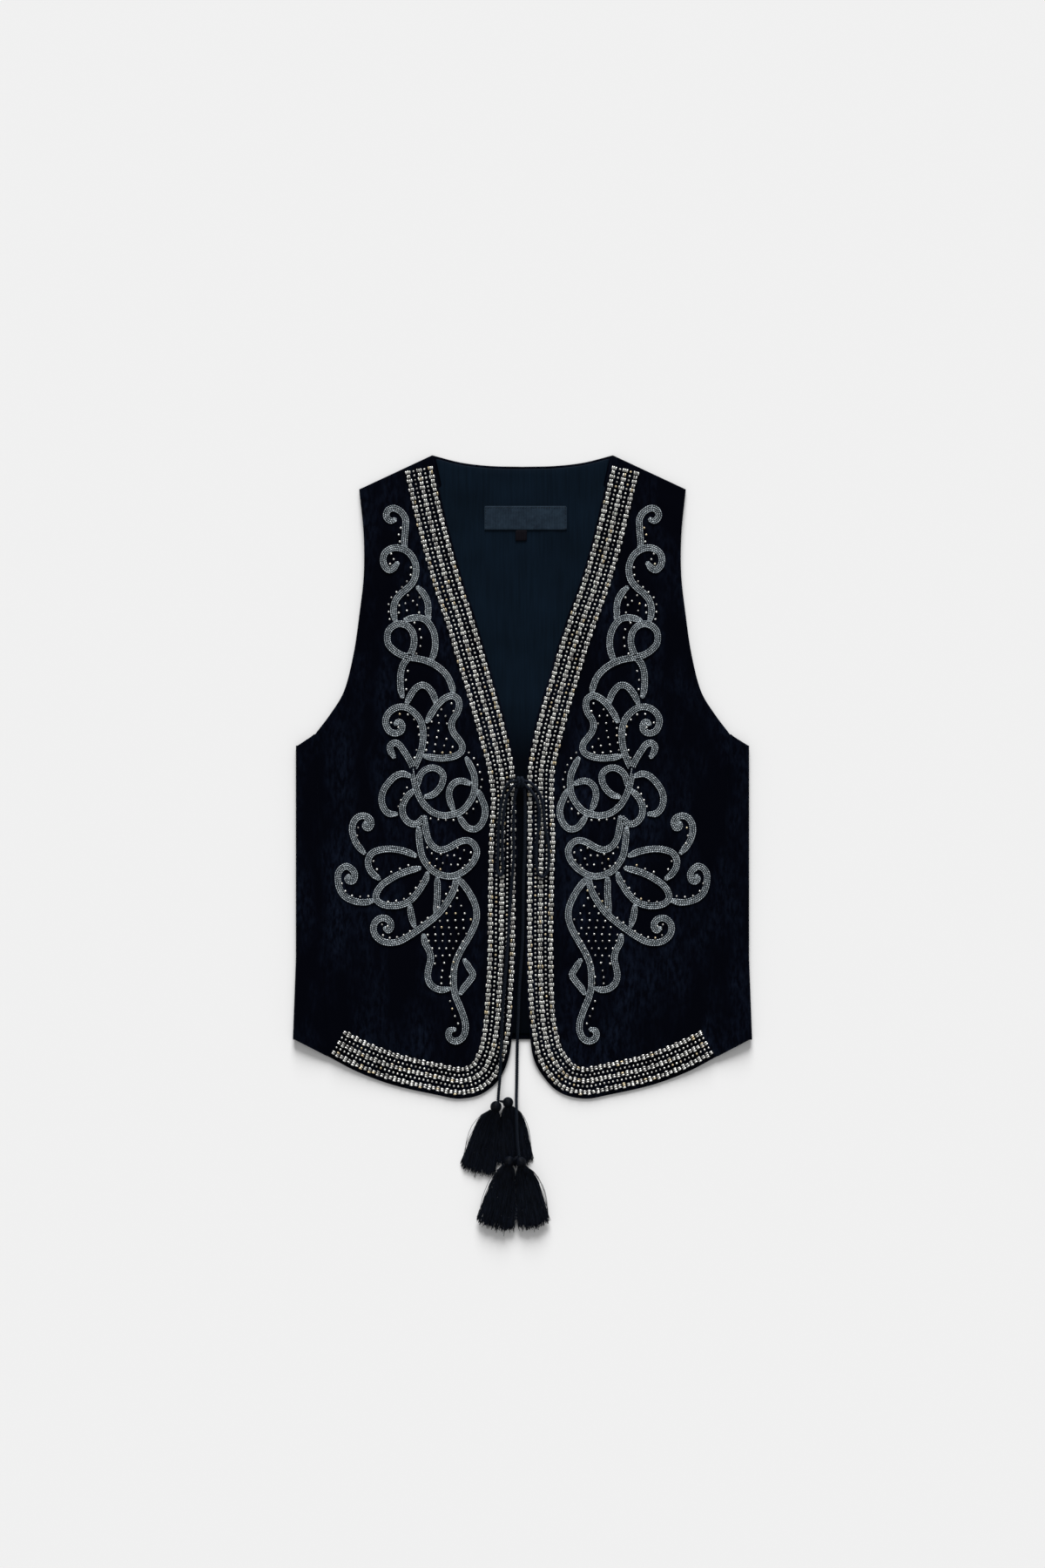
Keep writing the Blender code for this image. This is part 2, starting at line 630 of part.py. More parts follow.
TAIL_RIGHT = [
    (1.6, -11.6, 10.6), (2.3, -18, 9.0), (2.5, -26, 7.5), (2.5, -45, 7.3), (2.3, -65, 7.3),
    (1.9, -80, 7.0), (1.2, -95, 6.6), (0.8, -110, 5.6), (0.6, -125, 5.0), (0.2, -160, 5.0),
    (-1.8, -190, 5.0), (-3.4, -215, 5.0), (-4.2, -240, 5.0), (-4.8, -252, 4.9),
    (-5.2, -264, 3.4), (-5.4, -276, 2.2), (-5.6, -292, 2.0), (-5.8, -306, 2.4),
    (-6.0, -316, 4.6), (-6.0, -326, 7.6), (-5.9, -338, 9.0), (-5.4, -352, 9.0),
    (-4.5, -364, 9.4), (-3.6, -373.4, 9.9),
]

# Tassels: head's middle (x, y, height), head radius, height of the collar's end,
# heading from straight down, half fan, length
TASSELS = {
    "tassel_upper_left": (-26.2, -325.1, 6.3, 5.9, 3.0, -16, 14.5, 60),
    "tassel_upper_right": (-14.3, -321.0, 6.0, 5.6, 3.0, 7, 15.5, 55),
    "tassel_lower_left": (-13.2, -379.0, 9.9, 5.6, 6.8, -12, 16.5, 60),
    "tassel_lower_right": (-1.6, -379.6, 9.9, 5.6, 6.8, 12, 13.5, 58),
}
STRANDS_ACROSS = 10
STRAND_LEVELS = (1.2, 2.9)
STRAND_RADIUS = 0.75
STRAND_WAVE = 0.04
STRAND_ROOT_HALF = 6.4
STRAND_ROOT_BACK = 3.0
COLLAR_LENGTH = 9.0
COLLAR_SIDES = 12
COLLAR_END_HALF = (8.8, 2.5)


def tassel(name, row, finish):
    """A wrapped head, a short flared collar, and two layers of strands rooted in the collar."""
    x, y, z, radius, collar_z, heading, half_fan, length = row
    forward = Vector((math.sin(math.radians(heading)), -math.cos(math.radians(heading)), 0))
    across = Vector((-forward.y, forward.x, 0))
    head = Vector((x, y, z))
    body = bmesh.new()
    bmesh.ops.create_uvsphere(body, u_segments=12, v_segments=8, radius=radius)
    bmesh.ops.translate(body, verts=body.verts, vec=head)
    backing = bpy.data.meshes.new(name)
    bmesh.ops.scale(body, verts=body.verts, vec=(MM, MM, MM))
    body.to_mesh(backing)
    body.free()
    piece = add_object(name, backing, finish)

    # The collar: flat oval sections from inside the head to where the strands part
    near = head + forward * radius * 0.5
    far = head + forward * (radius + COLLAR_LENGTH) - Vector((0, 0, z - collar_z))
    collar = bmesh.new()
    rings = []
    for centre, half_wide, half_high in ((near, radius * 0.8, radius * 0.7), (far, *COLLAR_END_HALF)):
        ring = []
        for index in range(COLLAR_SIDES):
            angle = 2 * math.pi * index / COLLAR_SIDES
            offset = across * half_wide * math.cos(angle) + Vector((0, 0, half_high * math.sin(angle)))
            ring.append(collar.verts.new((centre + offset) * MM))
        rings.append(ring)
    for index in range(COLLAR_SIDES):
        after = (index + 1) % COLLAR_SIDES
        collar.faces.new((rings[0][index], rings[0][after], rings[1][after], rings[1][index]))
    collar.faces.new(rings[0][::-1])
    collar.faces.new(rings[1])
    bmesh.ops.recalc_face_normals(collar, faces=collar.faces)

    # The strands: three-sided, in a lower and an upper layer, fanned out and just above the table
    strands = bmesh.new()
    for layer, level in enumerate(STRAND_LEVELS):
        for number in range(STRANDS_ACROSS):
            share = (number + 0.5 * layer) / (STRANDS_ACROSS - 0.5) * 2 - 1
            turn = math.radians(heading + share * half_fan)
            reach = Vector((math.sin(turn), -math.cos(turn), 0))
            wave = 1.0 + STRAND_WAVE * math.sin(7.0 * number + 3.0 * layer)
            root = far - forward * STRAND_ROOT_BACK + across * share * STRAND_ROOT_HALF
            start = Vector((root.x, root.y, collar_z - 0.9 + 1.6 * layer))
            tip = Vector((head.x, head.y, 0)) + reach * (radius + length * wave)
            middle = start.lerp(tip, 0.45)
            stops = [start, Vector((middle.x, middle.y, level + 0.2)), Vector((tip.x, tip.y, level))]
            rings = []
            for stop in stops:
                sideways = Vector((-reach.y, reach.x, 0))
                ring = []
                for angle in (90, 210, 330):
                    bend = math.radians(angle)
                    offset = sideways * math.cos(bend) + Vector((0, 0, math.sin(bend)))
                    ring.append(strands.verts.new((stop + offset * STRAND_RADIUS) * MM))
                rings.append(ring)
            for before, after in zip(rings, rings[1:]):
                for index in range(3):
                    following = (index + 1) % 3
                    strands.faces.new((before[index], before[following], after[following], after[index]))
            strands.faces.new(rings[0][::-1])
            strands.faces.new(rings[-1])
    bmesh.ops.recalc_face_normals(strands, faces=strands.faces)
    for label, shape in (("collar", collar), ("strands", strands)):
        mesh = bpy.data.meshes.new(name + "_" + label)
        shape.to_mesh(mesh)
        shape.free()
        cutter = bpy.data.objects.new(name + "_" + label, mesh)
        cutter.hide_render = True
        cutter.display_type = "WIRE"
        HELPERS.objects.link(cutter)
        union = piece.modifiers.new(label, "BOOLEAN")
        union.operation = "UNION"
        union.solver = "EXACT"
        union.object = cutter
    return piece


def knot(finish):
    """The knot of the bow, a flattened round lump over the top of the opening."""
    shape = bmesh.new()
    bmesh.ops.create_uvsphere(shape, u_segments=16, v_segments=10, radius=1.0)
    bmesh.ops.scale(shape, verts=shape.verts, vec=TIE_KNOT_HALF)
    bmesh.ops.translate(shape, verts=shape.verts, vec=TIE_KNOT)
    bmesh.ops.scale(shape, verts=shape.verts, vec=(MM, MM, MM))
    mesh = bpy.data.meshes.new("tie_knot")
    shape.to_mesh(mesh)
    shape.free()
    return add_object("tie_knot", mesh, finish)


def tape(name, x_range, y_range, finish):
    """A small woven piece sewn flat on the back lining."""
    (left, right), (low, top) = x_range, y_range
    level = LINING_UNDERSIDE + LINING_THICKNESS + SEAM_GAP
    flat = [(left, low), (right, low), (right, top), (left, top)]
    return wall(name, flat, [(0, 1, 2, 3)], lambda x, y: level, TAPE_THICKNESS, finish)


for leftover in list(bpy.data.objects):
    bpy.data.objects.remove(leftover)

COLLECTION = bpy.data.collections.new("embroidered_vest")
HELPERS = bpy.data.collections.new("tassel_shapes")
bpy.context.scene.collection.children.link(COLLECTION)
bpy.context.scene.collection.children.link(HELPERS)

velvet = material("navy_velvet", NAVY_VELVET, 0.9)
satin = material("petrol_satin", PETROL_SATIN, 0.5)
beads = material("silver_beads", SILVER_BEAD, 0.25, 0.6)
silver_cord = material("silver_cord", SILVER_CORD, 0.5, 0.3)
navy_cord = material("navy_cord", NAVY_CORD, 0.8)
teal_tape = material("teal_tape", TEAL_TAPE, 0.6)

panel("back_shell", back_outline(), FLAT_GRID, lambda x, y: 0.0, SHELL_THICKNESS, velvet)
panel("back_lining", lining_outline(), FLAT_GRID, lambda x, y: LINING_UNDERSIDE, LINING_THICKNESS, satin)

tape("neck_label", LABEL_X, LABEL_Y, teal_tape)
tape("size_tab", TAB_X, TAB_Y, teal_tape)

for word, side in (("left", -1), ("right", 1)):
    panel("front_" + word, front_outline(side), FRONT_GRID, front_under, FRONT_THICKNESS, velvet)
    side_panel("side_panel_" + word, side, velvet)
    for row_name, distance in BEAD_ROWS.items():
        bead_row(f"bead_row_{row_name}_{word}", side, distance, beads)
    scroll("scroll_embroidery_" + word, side, silver_cord)

knot(navy_cord)
tube("tie_loop_left", LOOP_LEFT, navy_cord)
tube("tie_loop_right", LOOP_RIGHT, navy_cord)
tube("tie_tail_left", TAIL_LEFT, navy_cord)
tube("tie_tail_right", TAIL_RIGHT, navy_cord)
for tassel_name, tassel_row in TASSELS.items():
    tassel(tassel_name, tassel_row, navy_cord)
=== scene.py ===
"""Looks of an embroidered folk vest, laid flat on its back on a pale table.

The sections follow the vest as it is put together. Sizes are in millimetres unless a name says
otherwise, and MM turns them into the scene's metres. Most tables measure x outwards from the
middle of the vest and y up towards its neck.
"""

import math
import random

import bmesh
import bpy
import numpy as np
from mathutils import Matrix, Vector, kdtree, noise
from mathutils.geometry import delaunay_2d_cdt


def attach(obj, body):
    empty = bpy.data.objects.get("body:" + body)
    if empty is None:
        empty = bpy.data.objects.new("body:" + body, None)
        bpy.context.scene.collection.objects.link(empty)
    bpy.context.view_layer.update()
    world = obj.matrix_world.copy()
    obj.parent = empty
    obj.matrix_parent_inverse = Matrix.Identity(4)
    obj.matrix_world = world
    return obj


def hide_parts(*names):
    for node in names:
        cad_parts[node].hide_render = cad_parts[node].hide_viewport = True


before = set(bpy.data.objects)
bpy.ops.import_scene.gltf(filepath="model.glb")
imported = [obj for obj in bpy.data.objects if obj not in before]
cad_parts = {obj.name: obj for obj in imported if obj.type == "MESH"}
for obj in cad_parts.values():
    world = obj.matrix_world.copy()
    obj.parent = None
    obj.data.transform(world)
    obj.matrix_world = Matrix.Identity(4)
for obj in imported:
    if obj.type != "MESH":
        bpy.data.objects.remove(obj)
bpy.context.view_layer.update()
scene = bpy.context.scene


# Table, light and camera
# A pale matt table in a bright even room. One broad soft lamp stands beyond the neck of the
# vest, so a short soft shadow falls below the hem. The camera looks straight down.
MM = 0.001
PHOTO_MM_PER_PIXEL = 0.86
PHOTO_HEIGHT_PIXELS = 1800
PHOTO_MIDDLE_Y = -6.9
LENS = 100.0
SENSOR = 36.0
TABLE_SIZE = 12.0
TABLE_LEVEL = -0.3
TABLE_WHITE = "#f3f3f3"
ROOM_STRENGTH = 0.38
LAMP_ELEVATION = 24.0
LAMP_SOFTNESS = 30.0
LAMP_STRENGTH = 4.6


def linear(code):
    """A colour's sRGB hex code as linear red, green and blue, with alpha."""
    channels = [int(code[start:start + 2], 16) / 255 for start in (1, 3, 5)]
    light = [c / 12.92 if c <= 0.04045 else ((c + 0.055) / 1.055) ** 2.4 for c in channels]
    return (*light, 1.0)


def add(tree, kind, inputs=None, **settings):
    """Add a node with its settings. Its inputs take a value, a socket, or a node's first output."""
    node = tree.nodes.new(kind)
    for name, value in settings.items():
        setattr(node, name, value)
    for name, value in (inputs or {}).items():
        if isinstance(value, bpy.types.Node):
            value = value.outputs[0]
        if isinstance(value, bpy.types.NodeSocket):
            tree.links.new(value, node.inputs[name])
        else:
            node.inputs[name].default_value = value
    return node


def new_finish(name, roughness, specular=0.5, metallic=0.0):
    """An empty finish with its node tree and its shader."""
    finish = bpy.data.materials.new(name)
    finish.use_nodes = True
    shader = finish.node_tree.nodes["Principled BSDF"]
    shader.inputs["Roughness"].default_value = roughness
    shader.inputs["Specular IOR Level"].default_value = specular
    shader.inputs["Metallic"].default_value = metallic
    return finish, finish.node_tree, shader


def place(piece):
    """Link a finished piece into the scene, at the origin."""
    scene.collection.objects.link(piece)
    return piece


# Matt laminate: one even pale grey that hardly shines
table_finish, tree, shader = new_finish("matt_laminate_table", 0.9, 0.1)
shader.inputs["Base Color"].default_value = linear(TABLE_WHITE)

half = TABLE_SIZE / 2
corners = [(-half, -half), (half, -half), (half, half), (-half, half)]
table_mesh = bpy.data.meshes.new("table")
table_mesh.from_pydata([(x, y, TABLE_LEVEL * MM) for x, y in corners], [], [(0, 1, 2, 3)])
table_mesh.materials.append(table_finish)
table = place(bpy.data.objects.new("table", table_mesh))

room = bpy.data.worlds.new("room")
room.use_nodes = True
room.node_tree.nodes["Background"].inputs["Color"].default_value = (1, 1, 1, 1)
room.node_tree.nodes["Background"].inputs["Strength"].default_value = ROOM_STRENGTH
scene.world = room
scene.view_settings.view_transform = "Standard"

lamp_data = bpy.data.lights.new("lamp_beyond_the_neck", "SUN")
lamp_data.energy = LAMP_STRENGTH
lamp_data.angle = math.radians(LAMP_SOFTNESS)
lamp = place(bpy.data.objects.new("lamp_beyond_the_neck", lamp_data))
lamp.rotation_euler = (math.radians(LAMP_ELEVATION - 90), 0, 0)

camera_data = bpy.data.cameras.new("camera")
camera_data.lens = LENS
camera_data.sensor_width = SENSOR
camera = place(bpy.data.objects.new("camera", camera_data))
field = PHOTO_MM_PER_PIXEL * PHOTO_HEIGHT_PIXELS
camera.location = (0, PHOTO_MIDDLE_Y * MM, field * LENS / SENSOR * MM)
scene.camera = camera


# Back
# Cotton velvet cut in one piece, with its nap running down. It lies on the table with its right
# side down, so only its turned edges show, round the neck, at the armholes and below the lining.
SHELL_THICKNESS = 1.6
LINING_THICKNESS = 1.0
FRONT_THICKNESS = 2.0
SEAM_GAP = 0.3
LINING_UNDERSIDE = SHELL_THICKNESS + SEAM_GAP
FRONT_UNDERSIDE = LINING_UNDERSIDE + LINING_THICKNESS + SEAM_GAP
EDGE_STEP = 2.4
BACK_GRID = 12.0
BACK_HEM_Y = -258.9
NECK_POINT = (89.0, 317.5)
SHOULDER_TIP = (161.2, 283.8)
ARMHOLE = [
    SHOULDER_TIP,
    (156.8, 240),
    (156.6, 200),
    (161, 160),
    (167, 120),
    (176.7, 83.4),
    (189, 63),
    (204.7, 42.1),
]
SIDE_SEAM = [(204.7, 42.1), (199.5, -76), (198.6, -145), (192.6, -275.2)]
BACK_NECK = [(0, 306.2), (32, 307), (60.5, 310.3), NECK_POINT]


def smooth(points, step=1.0):
    """Points about a step apart on a curve that bends softly through the given points."""
    given = [Vector(point) for point in points]
    given = [2 * given[0] - given[1]] + given + [2 * given[-1] - given[-2]]
    curve = []
    for a, b, c, d in zip(given, given[1:], given[2:], given[3:]):
        at_b = (b - a).length ** 0.5
        at_c = at_b + (c - b).length ** 0.5
        at_d = at_c + (d - c).length ** 0.5
        count = max(1, round((c - b).length / step))
        for index in range(count):
            t = at_b + (at_c - at_b) * index / count
            ab = a.lerp(b, t / at_b)
            bc = b.lerp(c, (t - at_b) / (at_c - at_b))
            cd = c.lerp(d, (t - at_c) / (at_d - at_c))
            abc = ab.lerp(bc, t / at_c)
            bcd = bc.lerp(cd, (t - at_b) / (at_d - at_b))
            curve.append(abc.lerp(bcd, (t - at_b) / (at_c - at_b)))
    curve.append(given[-2])
    return np.array([tuple(point) for point in curve])


def even(curve, step):
    """Points at even distances along a curve, its two ends among them."""
    run = np.concatenate([[0.0], np.cumsum(np.linalg.norm(np.diff(curve, axis=0), axis=1))])
    at = np.linspace(0, run[-1], max(1, round(run[-1] / step)) + 1)
    return np.stack([np.interp(at, run, column) for column in curve.T], axis=1)


def mirrored(points, side):
    """The same points on the left (-1) or the right (1) of the vest."""
    return [(side * point[0], *point[1:]) for point in points]


def closed_outline(*stretches):
    """One outline from stretches that follow each other, in counter-clockwise order."""
    loop = np.concatenate([even(np.array(stretch), EDGE_STEP)[:-1] for stretch in stretches])
    after = np.roll(loop, -1, axis=0)
    area = (loop[:, 0] * after[:, 1] - after[:, 0] * loop[:, 1]).sum()
    return loop if area > 0 else loop[::-1]


def inward_along(outline):
    """The direction into a counter-clockwise outline at each of its points."""
    ahead = np.roll(outline, -1, axis=0) - np.roll(outline, 1, axis=0)
    ahead /= np.linalg.norm(ahead, axis=1)[:, None]
    return np.stack([-ahead[:, 1], ahead[:, 0]], axis=1)


def tree_of(points):
    """A search tree that finds the nearest of flat points."""
    tree = kdtree.KDTree(len(points))
    for index, point in enumerate(points):
        tree.insert((point[0], point[1], 0.0), index)
    tree.balance()
    return tree


def points_within(outline, grid):
    """A brick pattern of points inside an outline, clear of its edge."""
    edge = tree_of(outline)
    after = np.roll(outline, -1, axis=0)
    found = []
    rows = np.arange(outline[:, 1].min() + grid / 2, outline[:, 1].max(), grid * 0.87)
    for number, y in enumerate(rows):
        crossed = (outline[:, 1] > y) != (after[:, 1] > y)
        a, b = outline[crossed], after[crossed]
        xs = np.sort(a[:, 0] + (y - a[:, 1]) * (b[:, 0] - a[:, 0]) / (b[:, 1] - a[:, 1]))
        shift = grid / 2 * (number % 2)
        for start, end in zip(xs[::2], xs[1::2]):
            first = math.ceil((start - shift) / grid) * grid + shift
            for x in np.arange(first, end, grid):
                if edge.find((x, y, 0.0))[2] > 0.55 * grid:
                    found.append((x, y))
    return np.array(found)


def cloth(name, outline, grid, under, thickness, finish, relief=None):
    """A piece of cloth with soft turned edges. under and relief take arrays of x and y and give
    the height of the underside, and how far the upper side stands proud of an even thickness."""
    inward = inward_along(outline)
    turn = thickness / 2
    rim = outline + inward * turn
    given = np.concatenate([rim, points_within(rim, grid)])
    loop = [list(range(len(rim)))]
    flat, _, faces, sources, *_ = delaunay_2d_cdt([Vector(p) for p in given], [], loop, 1, 1e-5)
    index_of = {source: index for index, ids in enumerate(sources) for source in ids}
    flat = np.array([tuple(point) for point in flat])
    low = under(flat[:, 0], flat[:, 1])
    rise = relief(flat[:, 0], flat[:, 1]) if relief else 0.0
    layers = [np.column_stack([flat, low + thickness + rise]), np.column_stack([flat, low])]
    rings = [[index_of[number] for number in range(len(rim))]]
    start = 2 * len(flat)
    for angle in (60, 30, 0, -30, -60):
        bend = math.radians(angle)
        ring = rim - inward * turn * math.cos(bend)
        level = under(ring[:, 0], ring[:, 1]) + thickness * (0.5 + 0.5 * math.sin(bend))
        layers.append(np.column_stack([ring, level]))
        rings.append(list(range(start, start + len(rim))))
        start += len(rim)
    rings.append([index + len(flat) for index in rings[0]])
    all_faces = [tuple(face) for face in faces]
    all_faces += [tuple(index + len(flat) for index in face[::-1]) for face in faces]
    for upper, lower in zip(rings, rings[1:]):
        ring_size = len(upper)
        for number in range(ring_size):
            after = (number + 1) % ring_size
            all_faces.append((upper[number], lower[number], lower[after], upper[after]))
    mesh = bpy.data.meshes.new(name)
    mesh.from_pydata((np.concatenate(layers) * MM).tolist(), [], all_faces)
    mesh.materials.append(finish)
    mesh.shade_smooth()
    return place(bpy.data.objects.new(name, mesh))


# Cotton velvet: a short dense pile that swallows light, near black with a blue cast. The nap
# turns lighter where it was brushed the other way, in soft streaks down the cloth, and the
# pile's tips catch a little light at grazing angles.
VELVET_DARK = "#020309"
VELVET_BRUSHED = "#0f1522"
VELVET_SHEEN = "#5d6c92"
NAP_PATCH = 38.0
NAP_STREAK = 3.2
PILE_GRAIN = 0.9

velvet, tree, shader = new_finish("cotton_velvet", 0.92, 0.02)
where = add(tree, "ShaderNodeTexCoord").outputs["Object"]
down_cloth = add(tree, "ShaderNodeMapping", {"Vector": where, "Scale": (1.0, 0.35, 1.0)})
patches = add(tree, "ShaderNodeTexNoise", {
    "Vector": down_cloth, "Scale": 1 / (NAP_PATCH * MM), "Detail": 3.0, "Roughness": 0.55,
})
streaks = add(tree, "ShaderNodeTexNoise", {
    "Vector": down_cloth, "Scale": 1 / (NAP_STREAK * MM), "Detail": 2.0, "Roughness": 0.6,
})
brushed = add(tree, "ShaderNodeMapRange", {"Value": patches, "From Min": 0.42, "From Max": 0.66})
streaked = add(tree, "ShaderNodeMapRange", {"Value": streaks, "From Min": 0.38, "From Max": 0.72})
nap = add(tree, "ShaderNodeMath", {0: brushed, 1: streaked}, operation="MULTIPLY")
nap_colour = add(tree, "ShaderNodeMix", {
    0: nap, 6: linear(VELVET_DARK), 7: linear(VELVET_BRUSHED),
}, data_type="RGBA")
pile = add(tree, "ShaderNodeTexNoise", {
    "Vector": where, "Scale": 1 / (PILE_GRAIN * MM), "Detail": 2.0,
})
pile_bump = add(tree, "ShaderNodeBump", {
    "Height": pile, "Strength": 0.5, "Distance": 0.25 * MM,
})
tree.links.new(nap_colour.outputs[2], shader.inputs["Base Color"])
tree.links.new(pile_bump.outputs[0], shader.inputs["Normal"])
shader.inputs["Sheen Weight"].default_value = 0.07
shader.inputs["Sheen Roughness"].default_value = 0.38
shader.inputs["Sheen Tint"].default_value = linear(VELVET_SHEEN)


def seam_x(y):
    """Where the side seam of the back and the front lies at a height."""
    rows = sorted(SIDE_SEAM, key=lambda row: row[1])
    return np.interp(y, [row[1] for row in rows], [row[0] for row in rows])


right_neck = smooth(BACK_NECK)
right_armhole = smooth(ARMHOLE)
seam_rows = np.arange(ARMHOLE[-1][1], BACK_HEM_Y, -EDGE_STEP)
right_seam = np.column_stack([seam_x(seam_rows), seam_rows])
hem_corner = np.array([(float(seam_x(BACK_HEM_Y)), BACK_HEM_Y)])
right_half = [right_neck, smooth([NECK_POINT, SHOULDER_TIP]), right_armhole]
right_half.append(np.concatenate([right_seam, hem_corner]))
left_half = [stretch[::-1] * (-1, 1) for stretch in right_half[::-1]]
back_hem = np.concatenate([hem_corner, hem_corner * (-1, 1)])
back_outline = closed_outline(*right_half, back_hem, *left_half)


def level_at(height):
    """An even level, for a piece that lies flat."""
    return lambda x, y: np.full(len(x), height)


back = cloth("back_velvet", back_outline, BACK_GRID, level_at(0.0), SHELL_THICKNESS, velvet)
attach(back, "root")
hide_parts("back_shell")


# Back lining
# Petrol blue polyester satin, sewn to the back's turned neck edge and at the seams, and hanging a
# little free between them, so it lies in faint long folds. It shows in the V between the fronts.
LINING_GRID = 5.0
NECK_EDGE = 2.5
LINING_INSET = 6.0
NECK_CORNER = [(85.6, 313.4), (83.9, 306), (82.0, 297), (79.8, 286.5), (148, 254)]

# Long folds of the lining: x and y at both ends, half width, height
LINING_FOLDS = [
    (-58, 296, -33, 150, 9, 0.55),
    (70, 300, 38, 120, 8, 0.45),
    (-16, 225, -6, 60, 7, 0.40),
    (12, 232, 9, 120, 6, 0.50),
    (30, 290, 20, 205, 10, 0.35),
    (-74, 270, -48, 190, 6, 0.40),
]
FOLD_SWAY = 2.5


def fold_rise(folds, x, y):
    """How high soft folds lift the cloth: each swells and fades along its length."""
    rise = np.zeros(len(x))
    for x_top, y_top, x_low, y_low, half_width, height in folds:
        along = np.clip((y_top - y) / (y_top - y_low), 0, 1)
        sway = FOLD_SWAY * np.sin(2 * math.pi * along + x_top)
        across = np.clip(np.abs(x - x_top - along * (x_low - x_top) - sway) / half_width, 0, 1)
        rise += height * np.sin(math.pi * along) * (1 + np.cos(math.pi * across)) / 2
    return rise


def lining_half():
    """The lining's right half from the middle of the neck to the middle of the hem. It keeps to
    the V beside the fronts' shoulders and runs under the fronts below them."""
    neck = right_neck[right_neck[:, 0] < NECK_CORNER[0][0]] - (0, NECK_EDGE)
    armhole = right_armhole[right_armhole[:, 1] < NECK_CORNER[-1][1]] - (LINING_INSET, 0)
    seam = right_seam[:-4] - (LINING_INSET, 0)
    hem = [(seam[-1, 0], BACK_HEM_Y + LINING_INSET), (0, BACK_HEM_Y + LINING_INSET)]
    return np.concatenate([neck, NECK_CORNER, armhole, seam, hem])


# Polyester satin: smooth floats of bright yarn over a fine twill. It has a soft silky shine and
# faint darker lines down the warp. The twill is drawn coarser than life so that it shows. Where
# the fronts almost meet over it, their shade is painted into the lining's colour: below the V it
# darkens down the vest to nearly black.
SATIN_DARK = "#060f18"
SATIN_LIGHT = "#0b1723"
SATIN_PAINTED_SHADE = "#010308"
SATIN_SHEEN = "#5f8fb0"
PAINTED_SHADE_FROM_Y = 75.0
PAINTED_SHADE_RUN = 60.0
WARP_LINE = 1.6
TWILL_PITCH = 1.1

satin, tree, shader = new_finish("petrol_satin", 0.45, 0.03)
where = add(tree, "ShaderNodeTexCoord").outputs["Object"]
warp_way = add(tree, "ShaderNodeMapping", {"Vector": where, "Scale": (1.0, 0.03, 1.0)})
warp = add(tree, "ShaderNodeTexNoise", {
    "Vector": warp_way, "Scale": 1 / (WARP_LINE * MM), "Detail": 3.0, "Roughness": 0.7,
})
clouds = add(tree, "ShaderNodeTexNoise", {"Vector": where, "Scale": 1 / (60 * MM), "Detail": 2.0})
yarn = add(tree, "ShaderNodeMath", {0: warp, 1: clouds}, operation="ADD")
yarn_share = add(tree, "ShaderNodeMapRange", {"Value": yarn, "From Min": 0.75, "From Max": 1.25})
yarn_colour = add(tree, "ShaderNodeMix", {
    0: yarn_share, 6: linear(SATIN_DARK), 7: linear(SATIN_LIGHT),
}, data_type="RGBA")
slanted = add(tree, "ShaderNodeMapping", {"Vector": where, "Rotation": (0, 0, math.radians(63))})
twill = add(tree, "ShaderNodeTexWave", {
    "Vector": slanted, "Scale": 2 * math.pi / 20 / (TWILL_PITCH * MM), "Distortion": 0.6,
    "Detail": 1.0,
})
twill_bump = add(tree, "ShaderNodeBump", {"Height": twill, "Strength": 0.12, "Distance": 0.1 * MM})
# Painted shade: lower down the vest the satin's colour turns to the near-black shade colour, which stands in
# for the shade of the fronts
height_on_vest = add(tree, "ShaderNodeSeparateXYZ", {0: where}).outputs["Y"]
clear_of_painted_shade = add(tree, "ShaderNodeMapRange", {
    "Value": height_on_vest, "From Min": (PAINTED_SHADE_FROM_Y - PAINTED_SHADE_RUN) * MM,
    "From Max": PAINTED_SHADE_FROM_Y * MM,
})
satin_colour = add(tree, "ShaderNodeMix", {
    0: clear_of_painted_shade, 6: linear(SATIN_PAINTED_SHADE), 7: yarn_colour.outputs[2],
}, data_type="RGBA")
tree.links.new(satin_colour.outputs[2], shader.inputs["Base Color"])
tree.links.new(twill_bump.outputs[0], shader.inputs["Normal"])
shader.inputs["Sheen Weight"].default_value = 0.02
shader.inputs["Sheen Tint"].default_value = linear(SATIN_SHEEN)

half_outline = lining_half()
lining_outline = closed_outline(half_outline, half_outline[::-1] * (-1, 1))
lining = cloth(
    "lining_satin", lining_outline, LINING_GRID, level_at(LINING_UNDERSIDE), LINING_THICKNESS, satin,
    lambda x, y: fold_rise(LINING_FOLDS, x, y),
)
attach(lining, "root")
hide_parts("back_lining")


# Neck label and size tab
# A bare woven polyester label with folded ends, sewn on below the neck with small stitches in its
# own colour, and a small folded tab of black tape caught under its lower edge.
LABEL_LEFT, LABEL_RIGHT = -37.6, 43.7
LABEL_LOW, LABEL_TOP = 243.8, 267.3
TAB_LEFT, TAB_RIGHT = -6.9, 4.3
TAB_LOW, TAB_TOP = 233.1, 243.5
TAPE_THICKNESS = 1.0
LABEL_GRID = 2.0
LABEL_LEVEL = LINING_UNDERSIDE + LINING_THICKNESS + SEAM_GAP

# Slanted soft wrinkles of the label: x and y at both ends, half width, height
LABEL_WRINKLES = [
    (-30, 268, -36, 246, 3, 0.25),
    (-14, 268, -22, 244, 4, 0.30),
    (10, 268, 3, 244, 3, 0.20),
    (24, 268, 17, 244, 4, 0.30),
    (38, 268, 32, 244, 3, 0.25),
]


def box_outline(left, right, low, top):
    """A rectangle as a closed outline."""
    rectangle = [(left, low), (right, low), (right, top), (left, top), (left, low)]
    return closed_outline(np.array(rectangle, dtype=float))


# Woven tape: close ribs across the tape, with the dull soft shine of polyester. The ribs are
# drawn coarser than life so that they show.
TAPE_DARK = "#121b25"
TAPE_LIGHT = "#263441"
TAB_DARK = "#07060a"
TAB_LIGHT = "#0f0d14"
RIB_PITCH = 1.3


